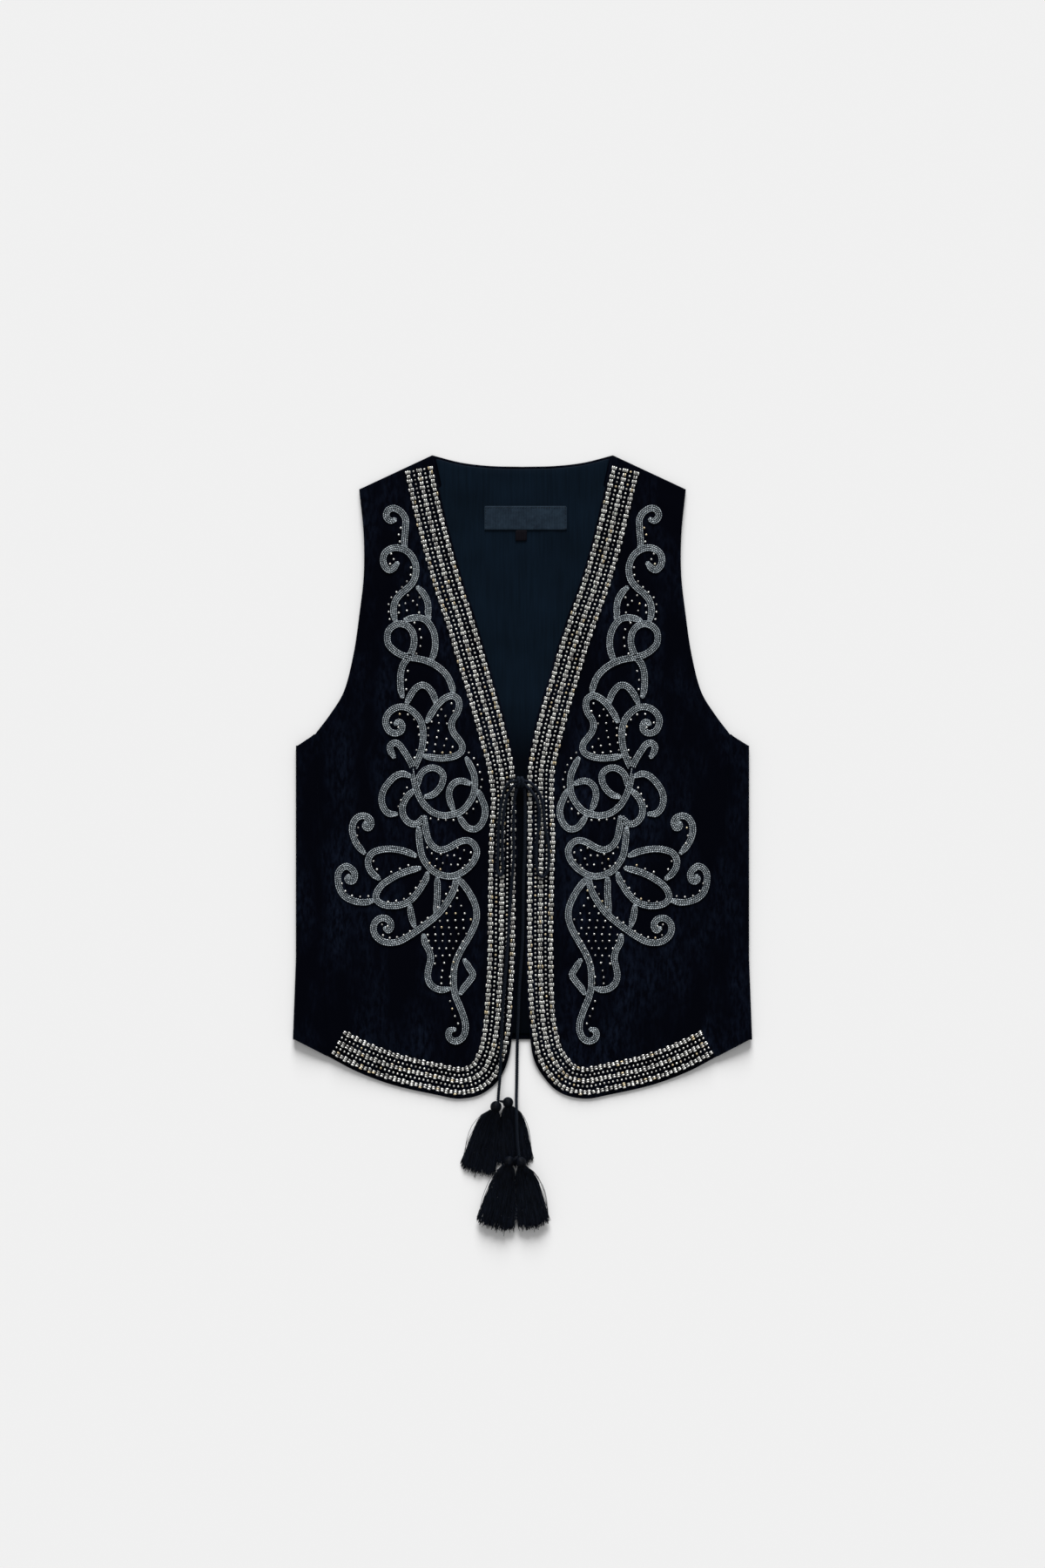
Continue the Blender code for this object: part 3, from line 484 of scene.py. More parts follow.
def tape_finish(name, dark, light):
    """A finish of ribbed woven tape between two colours."""
    finish, tree, shader = new_finish(name, 0.6, 0.05)
    where = add(tree, "ShaderNodeTexCoord").outputs["Object"]
    ribs = add(tree, "ShaderNodeTexWave", {
        "Vector": where, "Scale": 2 * math.pi / 20 / (RIB_PITCH * MM), "Distortion": 1.2,
        "Detail": 2.0,
    })
    clouds = add(tree, "ShaderNodeTexNoise", {
        "Vector": where, "Scale": 1 / (7 * MM), "Detail": 4.0, "Roughness": 0.7,
    })
    mixed = add(tree, "ShaderNodeMath", {0: ribs, 1: 0.3, 2: clouds}, operation="MULTIPLY_ADD")
    share = add(tree, "ShaderNodeMapRange", {"Value": mixed, "From Min": 0.35, "From Max": 0.95})
    colour = add(tree, "ShaderNodeMix", {0: share, 6: linear(dark), 7: linear(light)}, data_type="RGBA")
    bump = add(tree, "ShaderNodeBump", {"Height": ribs, "Strength": 0.4, "Distance": 0.1 * MM})
    tree.links.new(colour.outputs[2], shader.inputs["Base Color"])
    tree.links.new(bump.outputs[0], shader.inputs["Normal"])
    return finish


label_tape = tape_finish("woven_label_tape", TAPE_DARK, TAPE_LIGHT)
tab_tape = tape_finish("black_size_tape", TAB_DARK, TAB_LIGHT)
label_outline = box_outline(LABEL_LEFT, LABEL_RIGHT, LABEL_LOW, LABEL_TOP)
label = cloth(
    "label_tape", label_outline, LABEL_GRID, level_at(LABEL_LEVEL), TAPE_THICKNESS, label_tape,
    lambda x, y: fold_rise(LABEL_WRINKLES, x, y),
)
tab_outline = box_outline(TAB_LEFT, TAB_RIGHT, TAB_LOW, TAB_TOP)
tab = cloth("tab_tape", tab_outline, LABEL_GRID, level_at(LABEL_LEVEL), TAPE_THICKNESS, tab_tape)
for piece, node in ((label, "neck_label"), (tab, "size_tab")):
    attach(piece, "root")
    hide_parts(node)


def line_mesh(name, lines):
    """A mesh of plain edges that follow the given lines."""
    points, edges = [], []
    for line in lines:
        start = len(points)
        points += (np.asarray(line) * MM).tolist()
        edges += [(index, index + 1) for index in range(start, len(points) - 1)]
    mesh = bpy.data.meshes.new(name)
    mesh.from_pydata(points, edges, [])
    return mesh


def new_tree(name, *sizes, whole=()):
    """A node group that takes a geometry, its sizes, its whole numbers and a material."""
    group = bpy.data.node_groups.new(name, "GeometryNodeTree")
    group.interface.new_socket("Geometry", in_out="OUTPUT", socket_type="NodeSocketGeometry")
    group.interface.new_socket("Geometry", in_out="INPUT", socket_type="NodeSocketGeometry")
    for size in sizes:
        group.interface.new_socket(size, in_out="INPUT", socket_type="NodeSocketFloat")
    for number in (*whole, "Seed"):
        group.interface.new_socket(number, in_out="INPUT", socket_type="NodeSocketInt")
    group.interface.new_socket("Finish", in_out="INPUT", socket_type="NodeSocketMaterial")
    return group, add(group, "NodeGroupInput").outputs


def end_tree(group, given, geometry):
    """Close a node group: real geometry, shaded smooth, in the given finish."""
    real = add(group, "GeometryNodeRealizeInstances", {0: geometry})
    soft = add(group, "GeometryNodeSetShadeSmooth", {0: real})
    dressed = add(group, "GeometryNodeSetMaterial", {0: soft, "Material": given["Finish"]})
    add(group, "NodeGroupOutput", {0: dressed})


def grow(name, source, group, **values):
    """Run a node group on a source mesh and keep the result as a plain piece."""
    holder = place(bpy.data.objects.new(name + "_source", source))
    modifier = holder.modifiers.new("grow", "NODES")
    modifier.node_group = group
    for item in group.interface.items_tree:
        key = item.name.lower().replace(" ", "_")
        if key in values:
            modifier[item.identifier] = values[key]
    grown = holder.evaluated_get(bpy.context.evaluated_depsgraph_get())
    mesh = bpy.data.meshes.new_from_object(grown)
    bpy.data.objects.remove(holder)
    mesh.name = name
    return place(bpy.data.objects.new(name, mesh))


# Stitches along lines: one small spindle of thread at each step, turned to the line, each a
# little different in length and slant, with its own shade in the attribute "tint"
STITCH_WOBBLE = 0.12
STITCH_SMALLEST, STITCH_LARGEST = 0.86, 1.08
stitches, given = new_tree("stitches", "Pitch", "Length", "Width", "Height", "Slant")
line = add(stitches, "GeometryNodeMeshToCurve", {0: given["Geometry"]})
steps = add(stitches, "GeometryNodeCurveToPoints", {
    "Curve": line, "Length": given["Pitch"],
}, mode="LENGTH")
spindle = add(stitches, "GeometryNodeMeshUVSphere", {"Segments": 6, "Rings": 4, "Radius": 0.5})
along = add(stitches, "FunctionNodeAxesToRotation", {
    0: steps.outputs["Tangent"], 1: (0.0, 0.0, 1.0),
}, primary_axis="X", secondary_axis="Z")
wobble = add(stitches, "FunctionNodeRandomValue", {
    2: -STITCH_WOBBLE, 3: STITCH_WOBBLE, "Seed": given["Seed"],
}, data_type="FLOAT")
turn = add(stitches, "ShaderNodeMath", {0: wobble.outputs[1], 1: given["Slant"]}, operation="ADD")
twist = add(stitches, "FunctionNodeAxisAngleToRotation", {"Axis": (0.0, 0.0, 1.0), "Angle": turn})
turned = add(stitches, "FunctionNodeRotateRotation", {0: along, 1: twist}, rotation_space="LOCAL")
other_seed = add(stitches, "ShaderNodeMath", {0: given["Seed"], 1: 17.0}, operation="ADD")
growth = add(stitches, "FunctionNodeRandomValue", {
    2: STITCH_SMALLEST, 3: STITCH_LARGEST, "Seed": other_seed,
}, data_type="FLOAT")
size = add(stitches, "ShaderNodeCombineXYZ", {
    0: given["Length"], 1: given["Width"], 2: given["Height"],
})
grown_size = add(stitches, "ShaderNodeVectorMath", {0: size, "Scale": growth.outputs[1]}, operation="SCALE")
sewn = add(stitches, "GeometryNodeInstanceOnPoints", {
    "Points": steps, "Instance": spindle, "Rotation": turned, "Scale": grown_size,
})
shade = add(stitches, "FunctionNodeRandomValue", {2: 0.0, 3: 1.0, "Seed": given["Seed"]}, data_type="FLOAT")
tinted = add(stitches, "GeometryNodeStoreNamedAttribute", {
    0: sewn, "Name": "tint", "Value": shade.outputs[1],
}, data_type="FLOAT", domain="INSTANCE")
end_tree(stitches, given, tinted)

# Polyester sewing thread: two smooth plies with a dull shine
SEWING_THREAD = "#1b2836"
SEWING_SHADED = "#0d141c"
thread_finish, tree, shader = new_finish("polyester_sewing_thread", 0.55, 0.2)
tint = add(tree, "ShaderNodeAttribute", attribute_name="tint").outputs["Fac"]
thread_colour = add(tree, "ShaderNodeMix", {
    0: tint, 6: linear(SEWING_SHADED), 7: linear(SEWING_THREAD),
}, data_type="RGBA")
tree.links.new(thread_colour.outputs[2], shader.inputs["Base Color"])

STITCH_LIFT = 0.15
STITCH_INSET = 1.4
LABEL_STITCH_PITCH = 2.6
LABEL_STITCH_LENGTH = 2.0
LABEL_STITCH_WIDTH = 0.6
LABEL_STITCH_HEIGHT = 0.5
LABEL_STITCH_SLANT = 0.35
label_top = LABEL_LEVEL + TAPE_THICKNESS + STITCH_LIFT
left, right = LABEL_LEFT + STITCH_INSET, LABEL_RIGHT - STITCH_INSET
low, top = LABEL_LOW + STITCH_INSET, LABEL_TOP - STITCH_INSET
label_lines = [
    [(left, low, label_top), (left, top, label_top)],
    [(left, top, label_top), (right, top, label_top)],
    [(right, top, label_top), (right, low, label_top)],
]
label_stitches = grow(
    "label_stitches", line_mesh("label_stitches", label_lines), stitches,
    pitch=LABEL_STITCH_PITCH * MM, length=LABEL_STITCH_LENGTH * MM, width=LABEL_STITCH_WIDTH * MM,
    height=LABEL_STITCH_HEIGHT * MM, slant=LABEL_STITCH_SLANT, seed=3, finish=thread_finish,
)
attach(label_stitches, "root")


# Side pieces
# A narrow strip of the same velvet on each side, sewn between the back and the front. It folds
# round the laid vest's side, so it shows as a soft round edge with a seam along the front.
FOLD_RADIUS = 3.6
FOLD_LINE = [(223.6, 31), (223.6, -179), (226.6, BACK_HEM_Y)]
ARMPIT_Y = ARMHOLE[-1][1]
FOLD_TOP_Y = FOLD_LINE[0][1]
SIDE_HEM_Y = SIDE_SEAM[-1][1]
SIDE_ROWS = 110
SIDE_ACROSS = 9
SEAM_SEWN_IN = 0.2
SIDE_TURNS = 11
SIDE_EDGE_TURNS = (-60, -30, 0, 30, 60)
SIDE_WAVES = [(0.13, 0.35), (0.29, 0.25), (0.47, 0.4), (0.68, 0.3), (0.86, 0.35)]
SIDE_WAVE_WIDTH = 0.055
HEM_RAMP_START = -262.0
HEM_RAMP_END = -304.0
SHOULDER_RAMP = 30.0

# Soft vertical creases of the fronts: outwards and up at both ends, half width, rise
CREASES = [
    (178, 60, 172, -150, 28, 0.7),
    (146, 262, 138, 120, 28, 0.6),
    (112, -60, 118, -258, 30, 0.6),
    (162, -160, 158, -262, 28, 0.5),
]


def smoothstep(value):
    """0 below 0, 1 above 1, and an even slope between."""
    value = np.clip(value, 0.0, 1.0)
    return value * value * (3 - 2 * value)


def front_under(x, y):
    """Height of the underside of the fronts over the table."""
    out = np.abs(x)
    slope = (SHOULDER_TIP[1] - NECK_POINT[1]) / (SHOULDER_TIP[0] - NECK_POINT[0])
    shoulder_y = NECK_POINT[1] + (out - NECK_POINT[0]) * slope
    near_shoulder = np.where(out > 80, smoothstep(1 - (shoulder_y - y) / SHOULDER_RAMP), 0.0)
    past_hem = smoothstep((HEM_RAMP_START - y) / (HEM_RAMP_START - HEM_RAMP_END))
    level = FRONT_UNDERSIDE - near_shoulder * (FRONT_UNDERSIDE - LINING_UNDERSIDE)
    rise = np.zeros_like(out)
    for x_top, y_top, x_low, y_low, half_width, height in CREASES:
        along = np.clip((y_top - y) / (y_top - y_low), 0, 1)
        across = np.clip(np.abs(out - x_top - along * (x_low - x_top)) / half_width, 0, 1)
        rise += height * np.sin(math.pi * along) * (1 + np.cos(math.pi * across)) / 2
    return (level + rise) * (1 - past_hem)


def fold_x(y):
    """Where the middle of the fold lies, outwards, at a height."""
    rows = sorted(FOLD_LINE, key=lambda row: row[1])
    return np.interp(y, [row[1] for row in rows], [row[0] for row in rows])


def side_section(share):
    """The middle line of the side piece at a share of its length, from the back's seam round the
    fold to the front's seam, as x, y and height."""
    points = []
    spans = np.linspace(0, 1, SIDE_ACROSS)
    half = FRONT_THICKNESS / 2
    bulge = sum(
        height * math.exp(-(((share - at) / SIDE_WAVE_WIDTH) ** 2)) for at, height in SIDE_WAVES
    )
    for across in spans:
        top = ARMPIT_Y + across * (FOLD_TOP_Y - ARMPIT_Y)
        y = top + share * (BACK_HEM_Y - top)
        start = float(seam_x(y)) + SEAM_GAP + half
        points.append((start + across * (float(fold_x(y)) - FOLD_RADIUS - start), y, half))
    y = FOLD_TOP_Y + share * (BACK_HEM_Y - FOLD_TOP_Y)
    for angle in np.linspace(0, 180, SIDE_TURNS + 2)[1:-1]:
        turn = math.radians(angle)
        radius = FOLD_RADIUS - half
        out = float(fold_x(y)) - FOLD_RADIUS + radius * math.sin(turn)
        points.append((out, y, FOLD_RADIUS - radius * math.cos(turn)))
    for across in spans[::-1]:
        top = ARMPIT_Y + across * (FOLD_TOP_Y - ARMPIT_Y)
        low = SIDE_HEM_Y + across * (BACK_HEM_Y - SIDE_HEM_Y)
        y = top + share * (low - top)
        start = float(seam_x(y)) + half - SEAM_SEWN_IN
        x = start + across * (float(fold_x(y)) - FOLD_RADIUS - start)
        at_seam = float(front_under(np.array([x]), np.array([y]))[0]) + half
        lift = bulge * math.sin(math.pi * across)
        level = at_seam + smoothstep(across) * (2 * FOLD_RADIUS - half - at_seam) + lift
        points.append((x, y, level))
    return np.array(points)


def round_wall(line, half):
    """A closed ring round a section's middle line: both faces and two rounded ends."""
    ahead = np.gradient(line[:, [0, 2]], axis=0)
    ahead /= np.linalg.norm(ahead, axis=1)[:, None]
    across = np.stack([ahead[:, 1], -ahead[:, 0]], axis=1)
    ring = []

    def push(index, aside, along):
        offset = across[index] * aside + ahead[index] * along
        ring.append((line[index, 0] + offset[0], line[index, 1], line[index, 2] + offset[1]))

    for index in range(len(line)):
        push(index, half, 0.0)
    for angle in SIDE_EDGE_TURNS:
        bend = math.radians(angle)
        push(-1, -half * math.sin(bend), half * math.cos(bend))
    for index in range(len(line) - 1, -1, -1):
        push(index, -half, 0.0)
    for angle in SIDE_EDGE_TURNS:
        bend = math.radians(angle)
        push(0, half * math.sin(bend), -half * math.cos(bend))
    return ring


def side_piece(name, side):
    """The side piece as a wall with round edges, lofted down the vest."""
    shares = np.linspace(0, 1, SIDE_ROWS)
    rings = [round_wall(side_section(share), FRONT_THICKNESS / 2) for share in shares]
    size = len(rings[0])
    faces = []
    for row in range(SIDE_ROWS - 1):
        for index in range(size):
            after = (index + 1) % size
            a, b = row * size, (row + 1) * size
            faces.append((a + index, b + index, b + after, a + after))
    points = [(side * x * MM, y * MM, z * MM) for ring in rings for x, y, z in ring]
    faces.append(tuple(range(size)))
    faces.append(tuple((SIDE_ROWS - 1) * size + index for index in range(size))[::-1])
    mesh = bpy.data.meshes.new(name)
    mesh.from_pydata(points, [], faces)
    shape = bmesh.new()
    shape.from_mesh(mesh)
    bmesh.ops.recalc_face_normals(shape, faces=shape.faces)
    shape.to_mesh(mesh)
    shape.free()
    mesh.materials.append(velvet)
    mesh.shade_smooth()
    mesh.set_sharp_from_angle(angle=math.radians(50))
    return place(bpy.data.objects.new(name, mesh))


middle_section = side_section(0.5)
SIDES = {"left": -1, "right": 1}
for word, side in SIDES.items():
    strip = side_piece("side_velvet_" + word, side)
    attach(strip, "root")
    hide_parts("side_panel_" + word)


# Scroll drawing
# The lines that the embroiderer marks on both fronts before sewing: curls, a ring with smaller
# ones round it, and heart, kidney and long leaves on one stem. Each is the middle of a band.
SCROLL_BAND = 7.0

# Traced: the points were read off the photo along each band and rounded to 0.5 mm
STROKES = {
    "top_curl": [
        (126, 253.5), (129.5, 252.5), (133, 254.5), (134.5, 258.5), (132, 263.5), (127, 265),
        (120, 261.5), (115.5, 254.5), (115.5, 246), (116, 238), (116.5, 231), (115.5, 226),
    ],
    "second_curl": [
        (123.5, 210.5), (126.5, 206.5), (131, 204), (135.5, 207), (137.5, 213.5), (136, 220),
        (131, 224.5), (124.5, 226), (117.5, 224.5), (111.5, 220.5), (107, 214), (105, 206.5),
        (105.5, 198.5), (108.5, 191.5), (113.5, 186), (119.5, 181), (124.5, 175), (127, 168),
        (127, 161), (125.5, 154),
    ],
    "upper_petal": [(103, 186.5), (98.5, 182), (94.5, 175), (93, 167.5), (93, 160), (92, 157)],
    "pretzel_arch": [
        (116, 154.5), (109.5, 156.5), (102, 157), (95.5, 154.5), (90, 148), (87, 140.5),
        (86, 132), (87, 123.5), (90, 115),
    ],
    "pretzel": [
        (118.5, 79.5), (120, 86), (120.5, 94.5), (120, 103), (117.5, 111), (113.5, 116.5),
        (110, 122), (107.5, 129), (107, 137), (109.5, 144.5), (114, 149), (120.5, 151),
        (127, 149), (132, 144), (133.5, 137), (132, 130.5), (127, 125), (120, 120.5),
        (111.5, 118), (103, 116.5), (95, 114.5), (85.5, 110), (77, 103), (72, 95.5),
        (69, 86.5), (68.5, 83),
    ],
    "pretzel_foot": [
        (114, 73), (111, 79.5), (107.5, 85), (102.5, 89.5), (97.5, 90.5), (92.5, 87.5),
        (88, 81), (85.5, 73),
    ],
    "waist_curl": [
        (125, 52.5), (122.5, 54.5), (119, 52), (119.5, 46), (125, 43), (131.5, 45.5),
        (135, 53), (134, 60), (128, 66.5), (121, 69), (113.5, 68), (107, 63.5),
        (101.5, 57), (98.5, 48.5), (98, 39), (99, 30), (101, 22.5), (104.5, 14), (107.5, 6.5),
    ],
    "heart_leaf": [
        (94, 55), (89.5, 63), (83.5, 71.5), (76, 78), (69.5, 80), (64, 77), (62.5, 70.5),
        (64.5, 63), (69, 56), (70, 49.5), (68, 43.5), (63, 37), (59.5, 31), (60, 25.5),
        (64.5, 21.5), (73, 19), (82.5, 18.5), (91.5, 19.5), (96.5, 20.5),
    ],
    "waist_hook": [
        (127, 20), (130, 25.5), (130.5, 30.5), (126.5, 33.5), (122, 32), (117, 25.5),
        (112, 17.5), (108, 9), (106.5, 2),
    ],
    "great_ring": [
        (109, 11), (107.5, 0), (105, -11), (101, -21), (95.5, -29), (88, -35), (78.5, -38),
        (69, -37), (60, -33.5), (53, -26), (48.5, -17.5), (47, -7.5), (48, 2.5), (51.5, 11),
        (55, 18),
    ],
    "outer_ring": [
        (111.5, 1), (118, 3), (125, 1), (131.5, -5), (137, -13), (139, -22), (137, -30.5),
        (132, -36), (125, -36.5),
    ],
    "lower_ring": [
        (107.5, -13.5), (112.5, -18), (117, -25), (118.5, -33), (116, -41), (110, -46),
        (104, -46), (99, -41.5), (95.5, -37.5),
    ],
    "inner_ring": [
        (95, -19.5), (88.5, -17.5), (82.5, -12), (79, -5.5), (78.5, 2.5), (82.5, 7), (89, 9),
        (96.5, 6.5), (101, 1.5), (103, -4.5), (104.5, -10.5),
    ],
    "front_ring": [
        (52, -6.5), (60, -4), (66.5, -5.5), (71, -10.5), (72.5, -17.5), (71, -25), (68.5, -32),
    ],
    "front_hook": [
        (43.5, -14), (40, -22), (37, -30.5), (37.5, -39.5), (41, -47), (47, -51.5), (54, -50),
        (59, -44.5), (62.5, -39),
    ],
    "kidney_leaf": [
        (102.5, -51), (102, -60), (101, -69), (99, -78), (94.5, -86), (88.5, -92.5),
        (80.5, -96.5), (71, -98), (61.5, -95), (53, -89), (47, -81), (45, -73.5), (47.5, -67),
        (53, -63), (59, -63), (66, -66), (73, -70), (81, -72), (87.5, -69), (92.5, -62.5),
        (95, -54), (96.5, -45), (96.5, -40),
    ],
    "upper_side_petal": [
        (106, -77.5), (112.5, -74.5), (121.5, -72), (131.5, -71), (140.5, -72), (148, -75),
        (152, -81), (151.5, -89), (147.5, -95.5), (142, -100),
    ],
    "lower_side_petal": [
        (102, -90), (110.5, -92), (120.5, -95.5), (130, -100.5), (138.5, -106.5),
        (143.5, -113.5), (144.5, -120), (139.5, -125), (131, -127), (121.5, -126.5),
        (112.5, -123), (105, -116), (99.5, -108), (95.5, -101), (94, -95.5),
    ],
    "side_curl_top": [
        (155, -45.5), (155.5, -48.5), (152, -50.5), (149.5, -47), (150.5, -41.5), (156, -38.5),
        (162, -39.5), (166.5, -44.5), (168, -51.5), (166.5, -59.5), (162.5, -67.5),
        (156.5, -74.5),
    ],
    "side_curl_middle": [
        (171.5, -98), (173, -100.5), (170, -103), (167, -102), (165.5, -98.5), (166, -94),
        (169.5, -90), (173.5, -88), (178, -90), (181.5, -94.5), (182, -101.5), (181, -108),
        (178.5, -114), (173.5, -119), (167, -122), (160.5, -123.5), (154, -123.5), (148, -122),
    ],
    "side_curl_low": [
        (135.5, -149.5), (132.5, -151.5), (130, -148.5), (130.5, -143), (135, -139.5),
        (141.5, -140), (146, -144.5), (147, -151), (144, -157.5), (138, -162), (130, -163.5),
        (121.5, -162), (113, -157.5), (104, -151.5), (95, -145), (87, -138.5), (80, -131.5),
        (75, -124.5), (70, -116), (66.5, -107), (66, -100),
    ],
    "first_bar": [(84, -100), (84, -117), (85.5, -134.5)],
    "second_bar": [(111, -127), (109.5, -137.5), (107, -146.5)],
    "long_leaf_front": [
        (67.5, -249), (71.5, -250), (73, -254.5), (70.5, -259), (65, -260.5), (59.5, -257.5),
        (56.5, -250.5), (56.5, -243), (58.5, -235), (62, -226), (66, -216), (68, -206),
        (68, -196.5), (67, -186.5), (63.5, -176.5), (58.5, -167), (53, -158), (48.5, -149),
        (45.5, -140), (45.5, -131), (47.5, -124), (52, -115), (57.5, -107), (63.5, -100),
    ],
    "long_leaf_side": [
        (97.5, -156.5), (96, -164), (92, -171.5), (90.5, -179.5), (92.5, -188.5),
        (93.5, -196.5), (91, -204), (85.5, -208.5), (79, -210), (73, -209),
    ],
    "leaf_thorn": [(57, -181), (53, -187.5), (49, -195), (53, -202), (57.5, -207.5), (61, -213)],
}


# Fronts
# Two velvet pieces, faced at the opening and the hem. Each comes down to the back at the shoulder
# seam and to the table past the back's hem. The sewn band draws the cloth in on both its sides.
FRONT_GRID = 3.0
HEM = [(63.6, -317.5), (86, -313.5), (129, -303.6), (163.4, -290.7), (192.6, -275.2)]

# The two edges of the front opening differ a little: each row is (up the vest, left, right)
OPENING = [
    (280, 81.3, 79.9),
    (250, 74.0, 72.8),
    (220, 66.2, 65.0),
    (190, 57.4, 55.8),
    (160, 47.4, 44.9),
    (130, 38.4, 34.9),
    (100, 29.5, 26.0),
    (70, 20.8, 17.0),
    (40, 12.8, 9.4),
    (10, 6.6, 3.8),
    (-20, 5.2, 3.1),
    (-60, 4.8, 2.9),
    (-140, 5.3, 2.9),
    (-180, 5.9, 3.2),
    (-220, 8.0, 4.6),
    (-250, 9.8, 6.9),
    (-274, 12.9, 10.0),
    (-287, 17.2, 15.0),
    (-299, 23.5, 23.2),
    (-308, 32.7, 31.8),
    (-314.5, 44.0, 44.0),
]
PUCKER_REACH = 7.0
PUCKER_DEPTH = 0.35
BORDER_REACH = 31.0
BORDER_LIFT = 0.25
UNEVEN_SIZE = 26.0
UNEVEN_RISE = 0.28
EDGE_FADE = 6.0


def opening_edge(side):
    """The finished edge of a front, from the neck point round the low corner to the side seam."""
    column = 1 if side < 0 else 2
    rows = [NECK_POINT] + [(row[column], row[0]) for row in OPENING] + HEM
    return smooth(mirrored(rows, side))


def nearest_distance(tree, x, y):
    """Distance of each place to the nearest point of a search tree."""
    return np.array([tree.find((px, py, 0.0))[2] for px, py in zip(x, y)])


for word, side in SIDES.items():
    edge = opening_edge(side)
    outline = closed_outline(
        edge,
        smooth(mirrored(SIDE_SEAM[::-1], side)),
        smooth(mirrored(ARMHOLE[::-1], side)),
        smooth(mirrored([SHOULDER_TIP, NECK_POINT], side)),
    )
    band_tree = tree_of(np.concatenate([smooth(mirrored(line, side)) for line in STROKES.values()]))
    border_tree = tree_of(edge)
    outline_tree = tree_of(outline)

    def relief(x, y):
        """Dents beside the sewn bands, a slightly raised border, and the velvet's own waves."""
        to_band = nearest_distance(band_tree, x, y)
        beside = np.clip((to_band - SCROLL_BAND / 2) / PUCKER_REACH, 0, 1)
        dent = -PUCKER_DEPTH * (1 - beside) * (to_band > SCROLL_BAND / 2 - 1)
        to_border = nearest_distance(border_tree, x, y)
        border = BORDER_LIFT * smoothstep((BORDER_REACH - to_border) / 6)
        waves = [noise.noise((px / UNEVEN_SIZE, py / UNEVEN_SIZE / 1.8, side)) for px, py in zip(x, y)]
        fade = smoothstep(nearest_distance(outline_tree, x, y) / EDGE_FADE)
        return (np.minimum(dent, 0) + border + UNEVEN_RISE * np.array(waves)) * fade

    front = cloth(
        "front_velvet_" + word, outline, FRONT_GRID, front_under, FRONT_THICKNESS, velvet, relief
    )
    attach(front, "root")
    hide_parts("front_" + word)


# Bead borders
# Silver-lined glass bugles sewn along the opening and the hem in three rows, three side by side
# and then two.
BEAD_ROWS = {"outer": 4.5, "middle": 15.8, "inner": 27.1}
BEAD_PITCH = 4.37
BEAD_LENGTH = 3.25
BEAD_WIDTH = 1.85
BEAD_APART = 1.85
BEAD_STRAY = (0.22, 0.22, 0.1)
BEAD_WOBBLE = (0.06, 0.10, 0.16)
TRIM_GAP = 0.45
HEM_EXTRA = 1.8
HEM_EXTRA_FROM = -230.0
HEM_EXTRA_RUN = 60.0
ROW_START = 12
ROW_END = 4

# The knot draws the rows closer to the edge: each row is (up the vest, share left, right)
ROW_SHARES = [
    (-290, 1.0, 1.0),
    (-245, 0.975, 0.89),
    (-180, 0.965, 0.91),
    (-140, 0.975, 0.925),
    (-100, 0.97, 0.955),
    (-60, 0.95, 1.0),
    (-20, 0.86, 0.94),
    (10, 0.94, 0.95),
    (40, 1.0, 0.99),
]


def trim_level(x, y):
    """Height of the underside of what is sewn on the fronts."""
    return front_under(x, y) + FRONT_THICKNESS + TRIM_GAP


def along_edge(side, distance):
    """A line at a distance inside the finished edge of a front."""
    edge = opening_edge(side)[ROW_START:-ROW_END]
    ahead = np.gradient(edge, axis=0)
    ahead /= np.linalg.norm(ahead, axis=1)[:, None]
    normal = np.stack([-ahead[:, 1], ahead[:, 0]], axis=1)
    extra = HEM_EXTRA * smoothstep((HEM_EXTRA_FROM - edge[:, 1]) / HEM_EXTRA_RUN)
    heights, left, right = zip(*ROW_SHARES)
    share = np.interp(edge[:, 1], heights, left if side < 0 else right)
    return edge + normal * side * (distance * share + extra)[:, None]


# The tree: places along the line at even steps, each made three times. On every second place one
# is dropped and the others close up. A bead lies on each, turned a little its own way.
bead_tree, given = new_tree("bead_row", "Pitch", "Apart", "Length", "Width")
line = add(bead_tree, "GeometryNodeMeshToCurve", {0: given["Geometry"]})
steps = add(bead_tree, "GeometryNodeCurveToPoints", {
    "Curve": line, "Length": given["Pitch"],
}, mode="LENGTH")
number = add(bead_tree, "GeometryNodeInputIndex")
odd = add(bead_tree, "ShaderNodeMath", {0: number, 1: 2.0}, operation="MODULO")
marked = add(bead_tree, "GeometryNodeStoreNamedAttribute", {
    0: steps, "Name": "odd", "Value": odd,
}, data_type="FLOAT", domain="POINT")
tripled = add(bead_tree, "GeometryNodeDuplicateElements", {0: marked, "Amount": 3}, domain="POINT")
is_odd = add(bead_tree, "GeometryNodeInputNamedAttribute", {"Name": "odd"}, data_type="FLOAT")
third = add(bead_tree, "ShaderNodeMath", {
    0: tripled.outputs["Duplicate Index"], 1: 1.5,
}, operation="GREATER_THAN")
dropped = add(bead_tree, "ShaderNodeMath", {0: third, 1: is_odd}, operation="MULTIPLY")
kept = add(bead_tree, "GeometryNodeDeleteGeometry", {0: tripled, 1: dropped}, domain="POINT")
half_step = add(bead_tree, "ShaderNodeMath", {0: is_odd, 1: 0.5, 2: -1.0}, operation="MULTIPLY_ADD")
aside = add(bead_tree, "ShaderNodeMath", {
    0: tripled.outputs["Duplicate Index"], 1: half_step,
}, operation="ADD")
sideways = add(bead_tree, "ShaderNodeVectorMath", {
    0: steps.outputs["Tangent"], 1: (0.0, 0.0, 1.0),
}, operation="CROSS_PRODUCT")
distance = add(bead_tree, "ShaderNodeMath", {0: aside, 1: given["Apart"]}, operation="MULTIPLY")
shift = add(bead_tree, "ShaderNodeVectorMath", {0: sideways, "Scale": distance}, operation="SCALE")
